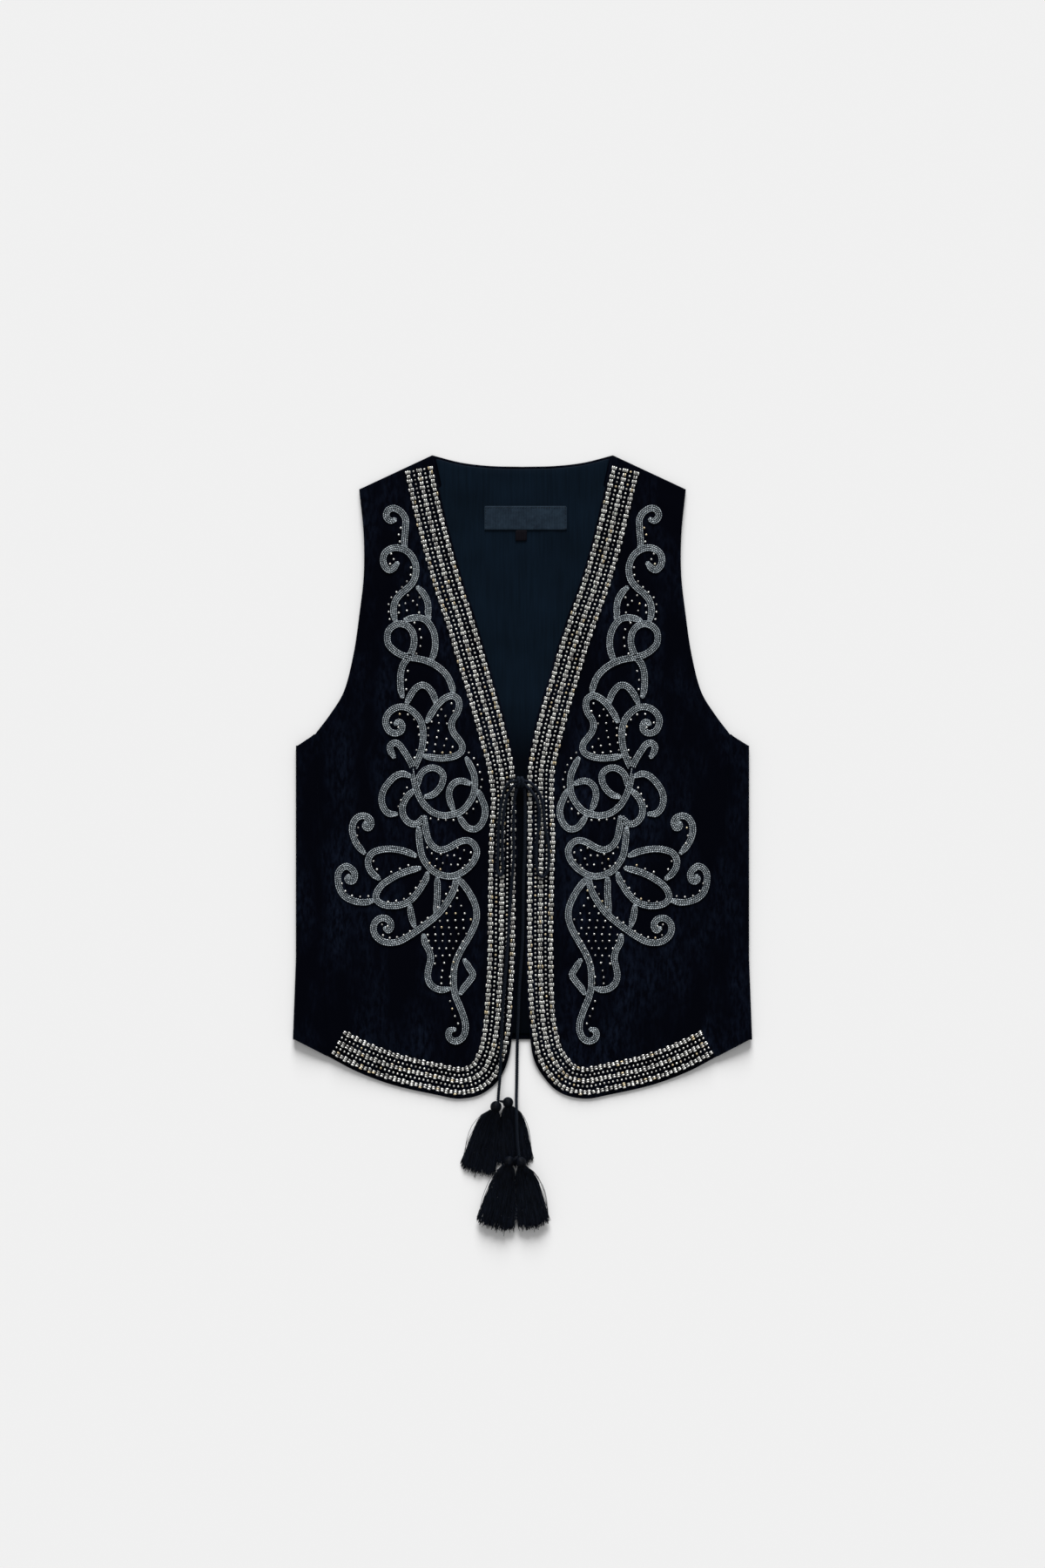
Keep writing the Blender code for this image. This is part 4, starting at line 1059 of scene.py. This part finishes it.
stray = add(bead_tree, "FunctionNodeRandomValue", {
    0: [-most * MM for most in BEAD_STRAY], 1: [most * MM for most in BEAD_STRAY],
    "Seed": given["Seed"],
}, data_type="FLOAT_VECTOR")
offset = add(bead_tree, "ShaderNodeVectorMath", {0: shift, 1: stray}, operation="ADD")
laid = add(bead_tree, "GeometryNodeSetPosition", {0: kept, "Offset": offset})
along = add(bead_tree, "FunctionNodeAxesToRotation", {
    0: steps.outputs["Tangent"], 1: (0.0, 0.0, 1.0),
}, primary_axis="X", secondary_axis="Z")
wobble = add(bead_tree, "FunctionNodeRandomValue", {
    0: [-most for most in BEAD_WOBBLE], 1: BEAD_WOBBLE, "Seed": given["Seed"],
}, data_type="FLOAT_VECTOR")
as_turn = add(bead_tree, "FunctionNodeEulerToRotation", {0: wobble})
turned = add(bead_tree, "FunctionNodeRotateRotation", {0: along, 1: as_turn}, rotation_space="LOCAL")
half_width = add(bead_tree, "ShaderNodeMath", {0: given["Width"], 1: 0.5}, operation="MULTIPLY")
barrel = add(bead_tree, "GeometryNodeMeshCylinder", {
    "Vertices": 8, "Side Segments": 3, "Fill Segments": 1, "Radius": half_width,
    "Depth": given["Length"],
})
height_share = add(bead_tree, "GeometryNodeInputPosition")
parts = add(bead_tree, "ShaderNodeSeparateXYZ", {0: height_share})
off_middle = add(bead_tree, "ShaderNodeMath", {0: parts.outputs[2], 1: given["Length"]}, operation="DIVIDE")
squared = add(bead_tree, "ShaderNodeMath", {0: off_middle, 1: off_middle}, operation="MULTIPLY")
waist = add(bead_tree, "ShaderNodeMath", {0: squared, 1: -1.5, 2: 1.0}, operation="MULTIPLY_ADD")
slim = add(bead_tree, "ShaderNodeCombineXYZ", {0: waist, 1: waist, 2: 1.0})
slimmed = add(bead_tree, "ShaderNodeVectorMath", {0: height_share, 1: slim}, operation="MULTIPLY")
rounded = add(bead_tree, "GeometryNodeSetPosition", {0: barrel, "Position": slimmed})
lying = add(bead_tree, "GeometryNodeTransform", {0: rounded, "Rotation": (0.0, math.pi / 2, 0.0)})
beads_on = add(bead_tree, "GeometryNodeInstanceOnPoints", {
    "Points": laid, "Instance": lying, "Rotation": turned,
})
shade = add(bead_tree, "FunctionNodeRandomValue", {2: 0.0, 3: 1.0, "Seed": given["Seed"]}, data_type="FLOAT")
tinted = add(bead_tree, "GeometryNodeStoreNamedAttribute", {
    0: beads_on, "Name": "tint", "Value": shade.outputs[1],
}, data_type="FLOAT", domain="INSTANCE")
end_tree(bead_tree, given, tinted)

# Silver-lined glass: the lining mirrors through the glass, so a bead shines like dull silver
# under a clear coat. One in sixteen has aged to pale gold, and some are darker than the rest.
BEAD_SILVER = "#dcdcd8"
BEAD_DARK = "#918f8c"
BEAD_GOLD = "#c4b494"
glass, tree, shader = new_finish("silver_lined_glass", 0.28, 0.5, 0.8)
tint = add(tree, "ShaderNodeAttribute", attribute_name="tint").outputs["Fac"]
dull = add(tree, "ShaderNodeMapRange", {"Value": tint, "From Min": 0.0, "From Max": 0.55})
silver = add(tree, "ShaderNodeMix", {
    0: dull, 6: linear(BEAD_DARK), 7: linear(BEAD_SILVER),
}, data_type="RGBA")
aged = add(tree, "ShaderNodeMapRange", {"Value": tint, "From Min": 0.93, "From Max": 0.95})
bead_colour = add(tree, "ShaderNodeMix", {
    0: aged, 6: silver.outputs[2], 7: linear(BEAD_GOLD),
}, data_type="RGBA")
tree.links.new(bead_colour.outputs[2], shader.inputs["Base Color"])
shader.inputs["Coat Weight"].default_value = 0.6
shader.inputs["Coat Roughness"].default_value = 0.08


def raised(line, lift):
    """A flat line lifted to just above the velvet."""
    return np.column_stack([line, trim_level(line[:, 0], line[:, 1]) + lift])


for seed, (word, side) in enumerate(SIDES.items()):
    for number, (row_name, distance) in enumerate(BEAD_ROWS.items()):
        name = f"beads_{row_name}_{word}"
        row = line_mesh(name, [raised(along_edge(side, distance), BEAD_WIDTH / 2)])
        beads = grow(
            name, row, bead_tree, pitch=BEAD_PITCH * MM, apart=BEAD_APART * MM,
            length=BEAD_LENGTH * MM, width=BEAD_WIDTH * MM, seed=10 * seed + number, finish=glass,
        )
        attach(beads, "root")
        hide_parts(f"bead_row_{row_name}_{word}")


# Scroll embroidery
# Four lines of silver-grey metallic thread side by side, sewn in close stitches and turned round
# at the end of each band. Where a later band crosses, the earlier one stops at its edge.
BAND_LINES = (0.9, 2.65)
STITCH_PITCH = 2.2
STITCH_LENGTH = 2.75
STITCH_WIDTH = 1.3
STITCH_HEIGHT = 1.0
STITCH_SLANT = 0.16
STITCH_SINK = 0.3
BAND_CLEAR = 3.4
END_REACH = 9.0
OWN_STRETCH = 14.0
TIP_SHARE = 0.65
TIP_REACH = 5.0
LINE_STEP = 0.6
LINE_SHORTEST = 8.0

# Metallic embroidery thread: a flat silver-grey film wound round a core. It glints on top of
# each stitch and falls to dark between them.
METAL_THREAD = "#adb5ba"
METAL_SHADED = "#6b747a"
silver_thread, tree, shader = new_finish("metallic_embroidery_thread", 0.38, 0.5, 0.55)
tint = add(tree, "ShaderNodeAttribute", attribute_name="tint").outputs["Fac"]
thread_colour = add(tree, "ShaderNodeMix", {
    0: tint, 6: linear(METAL_SHADED), 7: linear(METAL_THREAD),
}, data_type="RGBA")
tree.links.new(thread_colour.outputs[2], shader.inputs["Base Color"])


def band_loop(line, half):
    """A closed line beside a band's middle line at a distance, drawn in to a round tip at each
    end."""
    ahead = np.gradient(line, axis=0)
    ahead /= np.linalg.norm(ahead, axis=1)[:, None]
    normal = np.stack([-ahead[:, 1], ahead[:, 0]], axis=1)
    run = np.arange(len(line)) * LINE_STEP
    share = TIP_SHARE + (1 - TIP_SHARE) * np.minimum(run, run[::-1]) / TIP_REACH
    aside = normal * half * np.clip(share, 0, 1)[:, None]
    tip = half * TIP_SHARE
    ends = []
    for index, way in ((-1, -1), (0, 1)):
        bends = [math.radians(angle) for angle in range(30, 180, 30)]
        ends.append([
            line[index] - way * tip * (normal[index] * math.cos(bend) + ahead[index] * math.sin(bend))
            for bend in bends
        ])
    return np.concatenate([line + aside, ends[0], (line - aside)[::-1], ends[1]])


def hidden_by(place, own, at, number, middles, bands):
    """Whether a place beside one band lies under another band, or under its own later part. A
    band that ends at another stops at its edge, and where both run on the later lies on top."""
    own_end = min(at, len(middles[own]) - 1 - at) * LINE_STEP < END_REACH
    for _, other_at, away in bands[number].find_range((place[0], place[1], 0.0), BAND_CLEAR):
        if number == own and abs(other_at - at) * LINE_STEP < OWN_STRETCH:
            continue
        other_end = min(other_at, len(middles[number]) - 1 - other_at) * LINE_STEP < END_REACH
        later = other_at > at if number == own else number > own
        if own_end != other_end:
            later = own_end
        if later:
            return True
    return False


def uncovered(loop, own, middles, bands):
    """The stretches of a line round a band that no other band covers."""
    stretches, current = [], []
    for place in loop:
        at = bands[own].find((place[0], place[1], 0.0))[1]
        if any(hidden_by(place, own, at, number, middles, bands) for number in range(len(bands))):
            stretches.append(np.array(current))
            current = []
        else:
            current.append(place)
    stretches.append(np.array(current))
    return [stretch for stretch in stretches if len(stretch) * LINE_STEP > LINE_SHORTEST]


for seed, (word, side) in enumerate(SIDES.items()):
    middles = [even(smooth(mirrored(line, side)), LINE_STEP) for line in STROKES.values()]
    bands = [tree_of(middle) for middle in middles]
    sewing_lines = []
    for number, middle in enumerate(middles):
        for half in BAND_LINES:
            loop = even(band_loop(middle, half), LINE_STEP)
            seen = uncovered(loop, number, middles, bands)
            sewing_lines += [raised(stretch, STITCH_HEIGHT / 2 - STITCH_SINK) for stretch in seen]
    name = "scroll_thread_" + word
    scroll = grow(
        name, line_mesh(name, sewing_lines), stitches, pitch=STITCH_PITCH * MM,
        length=STITCH_LENGTH * MM, width=STITCH_WIDTH * MM, height=STITCH_HEIGHT * MM,
        slant=side * STITCH_SLANT, seed=60 + seed, finish=silver_thread,
    )
    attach(scroll, "root")
    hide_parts("scroll_embroidery_" + word)


# Round beads
# Single round beads of the same glass, sewn between the bead rows, beside the scrolls and in rows
# across the leaves.
DOT_ROWS = (10.4, 21.4)
DOT_SIZE = 2.25
DOT_SINK = 0.2
DOT_PITCH = 7.5

# Traced too: short runs of beads on one front, read off the photo, the same on both
ROUND_BEADS = [
    # Beside the upper curls and the pretzel, and in the petal between them
    [(120, 245.5), (122, 239), (121, 232)],
    [(129.5, 220), (127, 214), (130.5, 210)],
    [(110, 206.5), (110.5, 198.5), (118.5, 187.5), (129, 177.5), (132, 170.5), (132, 163), (131, 155.5)],
    [(113, 179), (108, 173.5)],
    [(115.5, 171), (114, 164)],
    [(101.5, 177), (104, 168), (102, 162)],
    [(121.5, 169), (122, 162)],
    [(106.5, 152), (101.5, 146), (100, 138), (100.5, 129.5), (104.5, 121.5)],
    [(113, 104.5), (115, 95), (114.5, 86.5)],
    # Inside the waist curl and the heart leaf
    [(121, 62), (114.5, 62), (109.5, 59.5), (105, 53.5), (102.5, 48), (102, 41.5)],
    [(106.5, 19), (104.5, 26.5)],
    [(129.5, 53.5), (122.5, 49)],
    [(70, 72.5), (68, 65)],
    [(80, 66.5), (75.5, 59), (74.5, 52.5)],
    [(83.5, 60.5), (82.5, 54), (83, 45.5)],
    [(89.5, 54.5), (93, 48), (93, 40.5), (94, 33), (95, 26.5)],
    [(84.5, 39), (86, 32), (87, 25)],
    [(75, 37.5), (77.5, 30), (79, 24)],
    [(69, 29.5), (71, 24)],
    # Round the great ring and between the small ones
    [(53, 24), (48, 18.5), (44, 11.5), (42, 4.5), (40, -2), (41, -10)],
    [(45, -24.5), (48.5, -31.5), (55, -36)],
    [(114, -10.5), (118.5, -20), (122.5, -29)],
    [(90.5, -41), (83, -42), (75.5, -42.5), (68, -42.5)],
    # In the kidney leaf and the side petals
    [(94, -69.5), (88.5, -76.5), (83.5, -82), (78.5, -85)],
    [(91.5, -85), (86, -88), (81, -91)],
    [(80.5, -76), (74, -77.5), (66.5, -77.5), (61.5, -80.5)],
    [(70.5, -86.5), (64, -86.5), (57, -87)],
    [(64, -70), (58.5, -72), (51, -74.5)],
    [(52, -82), (59, -90)],
    [(112.5, -87), (121, -90.5), (129.5, -93.5)],
    [(143.5, -91), (147, -83)],
    [(100.5, -103), (105, -109), (110, -114.5), (116.5, -120), (123.5, -122), (132.5, -123)],
    [(71.5, -108.5), (75.5, -115.5), (79, -123), (83.5, -128.5)],
    # Inside the side curls
    [(161, -65.5), (163, -57), (162, -50)],
    [(178, -105), (175, -112), (169.5, -116.5), (164.5, -118), (158, -118), (152, -117.5)],
    [(93.5, -139), (99.5, -143.5)],
    [(111, -152), (118, -156), (124.5, -158), (131, -158.5), (137.5, -156)],
    [(138.5, -145.5), (133, -147)],
    # Rows across the long leaf, and down its tail
    [(64, -112), (64.5, -119.5)],
    [(60.5, -127), (71, -127.5)],
    [(57, -134.5), (75, -134.5)],
    [(51, -140.5), (81.5, -142)],
    [(58, -149), (87, -148)],
    [(55.5, -154.5), (93.5, -155.5)],
    [(58.5, -162), (92.5, -161.5)],
    [(61.5, -169), (89, -169)],
    [(65, -175.5), (85.5, -176.5)],
    [(68, -182.5), (86.5, -184)],
    [(69.5, -190), (79, -191)],
    [(71.5, -197), (80, -197.5)],
    [(71, -203.5), (80, -203.5)],
    [(71.5, -221), (69.5, -228), (66.5, -236), (63.5, -243)],
]

# The tree: a round bead at each point, a little larger or smaller than the next
dot_tree, given = new_tree("round_beads", "Size")
ball = add(dot_tree, "GeometryNodeMeshUVSphere", {"Segments": 8, "Rings": 6, "Radius": 0.5})
growth = add(dot_tree, "FunctionNodeRandomValue", {
    2: 0.9, 3: 1.08, "Seed": given["Seed"],
}, data_type="FLOAT")
size = add(dot_tree, "ShaderNodeMath", {0: growth.outputs[1], 1: given["Size"]}, operation="MULTIPLY")
sewn = add(dot_tree, "GeometryNodeInstanceOnPoints", {
    "Points": given["Geometry"], "Instance": ball, "Scale": size,
})
shade = add(dot_tree, "FunctionNodeRandomValue", {
    2: 0.0, 3: 1.0, "Seed": given["Seed"],
}, data_type="FLOAT")
tinted = add(dot_tree, "GeometryNodeStoreNamedAttribute", {
    0: sewn, "Name": "tint", "Value": shade.outputs[1],
}, data_type="FLOAT", domain="INSTANCE")
end_tree(dot_tree, given, tinted)

for seed, (word, side) in enumerate(SIDES.items()):
    runs = [even(along_edge(side, away), BEAD_PITCH) for away in DOT_ROWS]
    runs += [even(smooth(mirrored(run, side)), DOT_PITCH) for run in ROUND_BEADS]
    name = "round_beads_" + word
    dots = grow(
        name, line_mesh(name, [raised(run, DOT_SIZE / 2 - DOT_SINK) for run in runs]), dot_tree,
        size=DOT_SIZE * MM, seed=40 + seed, finish=glass,
    )
    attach(dots, "root")


# Tie
# Navy cotton cord of three strands laid up in a twist. It comes from under both edges at the
# waist, is tied in a bow, and its two ends hang down the opening to two tassels each.
CORD_DIAMETER = 3.4
CORD_LAY = 6.5
CORD_STEP = 0.7
STRAND_SHARE = 0.29
KNOT = (-2.4, -5.0, 11.4)
LOOP_LEFT = [
    (-5.5, -4.2, 11.4),
    (-10.7, -3.9, 11.6), (-13.9, -6.2, 11.4), (-18.0, -13.0, 10.6), (-20.6, -24, 9.6),
    (-22.4, -36, 9.4), (-23.7, -50, 9.4), (-24.1, -66, 9.4), (-24.3, -80, 9.4),
    (-24.9, -89, 9.4), (-24.0, -95, 9.4), (-22.0, -97.3, 9.4), (-20.0, -95, 9.4),
    (-19.2, -89, 9.4), (-19.8, -80, 9.4), (-20.0, -64, 9.4), (-19.8, -50, 9.4),
    (-18.5, -36, 9.4), (-16.7, -25, 9.8), (-14.0, -16.2, 10.6), (-10.4, -10.6, 11.4),
    (-9.3, -9.2, 11.6),
    (-5.5, -6.6, 11.4),
]
LOOP_RIGHT = [
    (0.7, -3.8, 11.4),
    (5.9, -4.7, 11.6), (9.8, -7.6, 11.4), (14.9, -13.6, 10.6), (19.2, -24, 9.6),
    (20.9, -35.8, 9.4), (22.0, -47.3, 9.4), (24.0, -58.8, 9.4), (25.8, -70.3, 9.4),
    (26.2, -81.8, 9.4), (24.7, -92.4, 9.4), (20.6, -98.3, 9.4), (16.4, -96.8, 9.4),
    (13.9, -88, 9.4), (13.4, -76, 9.4), (14.0, -62.7, 9.4), (15.9, -51.1, 9.4),
    (16.9, -39.6, 9.4), (15.6, -28.4, 9.6), (12.4, -19.8, 10.4), (8.0, -13.4, 11.2),
    (3.9, -9.3, 11.5),
    (0.7, -6.4, 11.4),
]
TAIL_LEFT = [
    (-5.6, -11.6, 11.0), (-7.8, -22, 9.4), (-8.8, -50, 9.2), (-8.8, -80, 9.2), (-10.8, -106, 9.2),
    (-12.4, -130, 9.3), (-14.0, -155, 9.3), (-15.8, -182, 9.3), (-18.4, -215, 9.3),
    (-20.0, -240, 9.3), (-20.8, -262, 9.3), (-21.4, -276, 8.9), (-22.0, -289, 7.5),
    (-22.6, -300, 6.6), (-23.4, -309, 6.3), (-24.1, -319.0, 6.3),
]
TAIL_RIGHT = [
    (1.6, -11.6, 10.6), (2.3, -18, 9.0), (2.5, -26, 7.5), (2.5, -45, 7.3), (2.3, -65, 7.3),
    (1.9, -80, 7.0), (1.2, -95, 6.6), (0.8, -110, 5.6), (0.6, -125, 5.0), (0.2, -160, 5.0),
    (-1.8, -190, 5.0), (-3.4, -215, 5.0), (-4.2, -240, 5.0), (-4.8, -252, 4.9),
    (-5.2, -264, 3.4), (-5.4, -276, 2.2), (-5.6, -292, 2.0), (-5.8, -306, 2.4),
    (-6.0, -316, 4.6), (-6.0, -326, 7.6), (-5.9, -338, 9.0), (-5.4, -352, 9.0),
    (-4.5, -364, 9.4), (-3.6, -373.4, 9.9),
]

# The tree: the cord's line with an even twist along it, and three round strands set round it
cord_tree, given = new_tree("twisted_cord", "Diameter", "Lay", "Step", whole=("Strands",))
line = add(cord_tree, "GeometryNodeMeshToCurve", {0: given["Geometry"]})
fine = add(cord_tree, "GeometryNodeResampleCurve", {0: line, "Length": given["Step"]}, mode="LENGTH")
travelled = add(cord_tree, "GeometryNodeSplineParameter").outputs["Length"]
turns = add(cord_tree, "ShaderNodeMath", {0: travelled, 1: given["Lay"]}, operation="DIVIDE")
tilt = add(cord_tree, "ShaderNodeMath", {0: turns, 1: 2 * math.pi}, operation="MULTIPLY")
twisted = add(cord_tree, "GeometryNodeSetCurveTilt", {0: fine, "Tilt": tilt})
out_by = add(cord_tree, "ShaderNodeMath", {
    0: given["Diameter"], 1: 0.5 - STRAND_SHARE,
}, operation="MULTIPLY")
strand_radius = add(cord_tree, "ShaderNodeMath", {
    0: given["Diameter"], 1: STRAND_SHARE,
}, operation="MULTIPLY")
seats = add(cord_tree, "GeometryNodeMeshCircle", {"Vertices": given["Strands"], "Radius": out_by})
ring = add(cord_tree, "GeometryNodeCurvePrimitiveCircle", {
    "Resolution": 7, "Radius": strand_radius,
}, mode="RADIUS")
rings = add(cord_tree, "GeometryNodeInstanceOnPoints", {"Points": seats, "Instance": ring})
profile = add(cord_tree, "GeometryNodeRealizeInstances", {0: rings})
swept = add(cord_tree, "GeometryNodeCurveToMesh", {
    "Curve": twisted, "Profile Curve": profile, "Fill Caps": True,
})
end_tree(cord_tree, given, swept)

# Cotton cord: soft matt fibre, deep navy, with fine hairs of lighter and darker yarn
CORD_DARK = "#060a12"
CORD_LIGHT = "#161e2a"
CORD_SHEEN = "#6f86a8"
cotton_cord, tree, shader = new_finish("mercerised_cotton_cord", 0.75, 0.1)
where = add(tree, "ShaderNodeTexCoord").outputs["Object"]
fibres = add(tree, "ShaderNodeTexNoise", {
    "Vector": where, "Scale": 1 / (0.8 * MM), "Detail": 3.0, "Roughness": 0.7,
})
fibre_share = add(tree, "ShaderNodeMapRange", {"Value": fibres, "From Min": 0.35, "From Max": 0.7})
fibre_colour = add(tree, "ShaderNodeMix", {
    0: fibre_share, 6: linear(CORD_DARK), 7: linear(CORD_LIGHT),
}, data_type="RGBA")
fibre_bump = add(tree, "ShaderNodeBump", {"Height": fibres, "Strength": 0.4, "Distance": 0.2 * MM})
tree.links.new(fibre_colour.outputs[2], shader.inputs["Base Color"])
tree.links.new(fibre_bump.outputs[0], shader.inputs["Normal"])
shader.inputs["Sheen Weight"].default_value = 0.05
shader.inputs["Sheen Tint"].default_value = linear(CORD_SHEEN)

tie = {}
for name, route in {
    "tie_loop_left": LOOP_LEFT,
    "tie_loop_right": LOOP_RIGHT,
    "tie_tail_left": TAIL_LEFT,
    "tie_tail_right": TAIL_RIGHT,
}.items():
    path = smooth(route, 2.0)
    piece = grow(
        name.replace("tie_", "cord_"), line_mesh(name, [path]), cord_tree,
        diameter=CORD_DIAMETER * MM, lay=CORD_LAY * MM, step=CORD_STEP * MM, strands=3,
        finish=cotton_cord,
    )
    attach(piece, "root")
    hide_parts(name)
    tie[name] = (piece, path)

# The knot: the cord's wraps over the middle of the bow
WRAP_HALF = (4.3, 2.7)
WRAP_PLACES = (-1.75, 1.75)
wraps = []
for away in WRAP_PLACES:
    angles = np.linspace(0, 2 * math.pi, 33)
    wraps.append(np.column_stack([
        KNOT[0] + away + 0.9 * np.sin(angles),
        KNOT[1] + WRAP_HALF[0] * np.cos(angles),
        KNOT[2] + WRAP_HALF[1] * np.sin(angles),
    ]))
knot = grow(
    "bow_knot", line_mesh("bow_knot", wraps), cord_tree, diameter=CORD_DIAMETER * MM,
    lay=CORD_LAY * MM, step=CORD_STEP * MM, strands=3, finish=cotton_cord,
)
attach(knot, "root")
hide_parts("tie_knot")


# Tassels
# Hanks of the same thread, folded over the cord's end. The fold is wound round into a ball, and
# the cut threads spread out below it and lie on the table.
# Each row: head's middle (x, y, height), head radius, heading from straight down, half fan,
# length, how much the left and the right side bell out, and the cord's end that it hangs from
TASSELS = {
    "upper_left": (-26.2, -325.1, 6.3, 5.9, -16, 14.5, 60, (0.5, 0.15), (-24.1, -319.0, 6.3)),
    "upper_right": (-14.3, -321.0, 6.0, 5.6, 7, 15.5, 55, (0.15, 0.5), (-24.1, -319.0, 6.3)),
    "lower_left": (-13.2, -379.0, 9.9, 5.6, -12.5, 16, 60, (0.25, 0.1), (-3.6, -373.4, 9.9)),
    "lower_right": (-1.6, -379.6, 9.9, 5.6, 12, 13.5, 58, (0.1, 0.5), (-3.6, -373.4, 9.9)),
}
THREADS = 460
FOLDED_THREADS = 14
STRAY_THREADS = 16
THREAD_RADIUS = 0.28
THREAD_POINTS = 9
BUNCH_SHARE = 0.28
BELL_RUN = 0.13
ENDS_RAGGED = 0.04
SKIRT_END_THICK = 3.4
HEAD_WRAP = 0.75
HEAD_WRAP_POINTS = 20
SKIRT_LEVEL = {"upper": 0.6, "lower": 4.6}

# The tree: a thin round thread along each line
thread_tree, given = new_tree("threads", "Radius", whole=("Sides",))
line = add(thread_tree, "GeometryNodeMeshToCurve", {0: given["Geometry"]})
ring = add(thread_tree, "GeometryNodeCurvePrimitiveCircle", {
    "Resolution": given["Sides"], "Radius": given["Radius"],
}, mode="RADIUS")
swept = add(thread_tree, "GeometryNodeCurveToMesh", {
    "Curve": line, "Profile Curve": ring, "Fill Caps": True,
})
end_tree(thread_tree, given, swept)

# Rayon thread: long smooth fibres, near black, with a faint silky shine along each thread
RAYON_DARK = "#03060d"
RAYON_LIGHT = "#0e1420"
rayon, tree, shader = new_finish("rayon_tassel_thread", 0.5, 0.12)
where = add(tree, "ShaderNodeTexCoord").outputs["Object"]
strand_way = add(tree, "ShaderNodeMapping", {"Vector": where, "Scale": (1.0, 0.1, 1.0)})
strand_noise = add(tree, "ShaderNodeTexNoise", {
    "Vector": strand_way, "Scale": 1 / (1.2 * MM), "Detail": 2.0,
})
strand_share = add(tree, "ShaderNodeMapRange", {"Value": strand_noise, "From Min": 0.35, "From Max": 0.7})
strand_colour = add(tree, "ShaderNodeMix", {
    0: strand_share, 6: linear(RAYON_DARK), 7: linear(RAYON_LIGHT),
}, data_type="RGBA")
tree.links.new(strand_colour.outputs[2], shader.inputs["Base Color"])

chance = random.Random(7)


def skirt_threads(head, radius, heading, half_fan, length, bells, base):
    """The loose threads of one tassel. They spread like a bell, widest at the cut ends, from a
    round bunch below the head to a flat one on the table. A few at the sides bow out."""
    turn = math.radians(heading)
    forward = Vector((math.sin(turn), -math.cos(turn), 0))
    aside = Vector((-forward.y, forward.x, 0))
    end_half = (radius + length) * math.tan(math.radians(half_fan))
    lines = []
    for number in range(THREADS):
        stray = number < STRAY_THREADS
        share = chance.choice((-1, 1)) * chance.uniform(0.8, 1) if stray else chance.uniform(-1, 1)
        layer = chance.uniform(0, 1)
        reach = length * (1 + ENDS_RAGGED * chance.gauss(0, 1)) * (1 - 0.06 * share * share)
        bow = abs(chance.gauss(0, 3.0)) * share if stray else chance.gauss(0, 0.6)
        wave = chance.gauss(0, 0.35)
        waves = chance.uniform(1.5, 3.5)
        end_stray = chance.gauss(0, 0.9)
        depth = math.sqrt(1 - 0.9 * share * share)
        points = []
        for index in range(THREAD_POINTS):
            along = index / (THREAD_POINTS - 1)
            bell = BUNCH_SHARE + bells[share > 0] * (1 - math.exp(-along / BELL_RUN))
            bell += (1 - BUNCH_SHARE - bells[share > 0]) * along
            sway = bow * math.sin(math.pi * along) + wave * math.sin(2 * math.pi * waves * along)
            out = share * end_half * bell + sway + end_stray * along
            thick = 0.8 * radius * (1 - along) + SKIRT_END_THICK * along
            root_level = head.z - 0.5 * radius + radius * layer
            settled = min(1.0, along / 0.3)
            level = root_level + (base + thick * depth * layer - root_level) * settled
            centre = head + forward * (0.75 * radius + (reach + 0.25 * radius) * along)
            points.append((
                centre.x + aside.x * out, centre.y + aside.y * out, max(level, THREAD_RADIUS)
            ))
        lines.append(points)
    return lines


def head_winding(head, radius, heading):
    """One long thread wound round the ball from its top to its bottom."""
    turn = math.radians(heading)
    forward = Vector((math.sin(turn), -math.cos(turn), 0))
    aside = Vector((-forward.y, forward.x, 0))
    wraps_round = math.pi * radius / HEAD_WRAP
    count = int(wraps_round * HEAD_WRAP_POINTS)
    points = []
    for index in range(count + 1):
        share = index / count
        polar = math.radians(6 + 168 * share)
        spin = 2 * math.pi * wraps_round * share
        offset = forward * -math.cos(polar) + math.sin(polar) * (
            aside * math.cos(spin) + Vector((0, 0, 1)) * math.sin(spin)
        )
        points.append(tuple(head + offset * (radius - 0.35)))
    return points


def hanging_threads(head, end):
    """The folded threads between the cord's end and the ball."""
    lines = []
    for _ in range(FOLDED_THREADS):
        wander = Vector([chance.gauss(0, 0.7) for _ in range(3)])
        middle = head.lerp(Vector(end), 0.5) + wander
        lines.append([tuple(head), tuple(middle), tuple(Vector(end) + wander * 0.4)])
    return lines


heads = {}
for name, (x, y, z, radius, heading, half_fan, length, bells, end) in TASSELS.items():
    head = Vector((x, y, z))
    level = SKIRT_LEVEL[name.split("_")[0]]
    loose = skirt_threads(head, radius, heading, half_fan, length, bells, level)
    wound = [head_winding(head, radius, heading)] + hanging_threads(head, end)
    for part, lines in (("skirt", loose), ("head", wound)):
        full_name = f"tassel_{part}_{name}"
        piece = grow(
            full_name, line_mesh(full_name, lines), thread_tree, radius=THREAD_RADIUS * MM,
            sides=3, finish=rayon,
        )
        if part == "head":
            core = bmesh.new()
            core.from_mesh(piece.data)
            ball = bmesh.ops.create_uvsphere(
                core, u_segments=20, v_segments=12, radius=(radius - 0.5) * MM
            )
            bmesh.ops.translate(core, verts=ball["verts"], vec=head * MM)
            core.to_mesh(piece.data)
            core.free()
            piece.data.shade_smooth()
            heads[name] = piece
        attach(piece, "root")
        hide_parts("tassel_" + name)


carried = {
    "tie_loop_left": ("object", []),
    "tie_loop_right": ("object", []),
    "tie_tail_left": ("fitting", [heads["upper_left"], heads["upper_right"]]),
    "tie_tail_right": ("fitting", [heads["lower_left"], heads["lower_right"]]),
}
for name, (far_end, on_it) in carried.items():
    piece, path = tie[name]
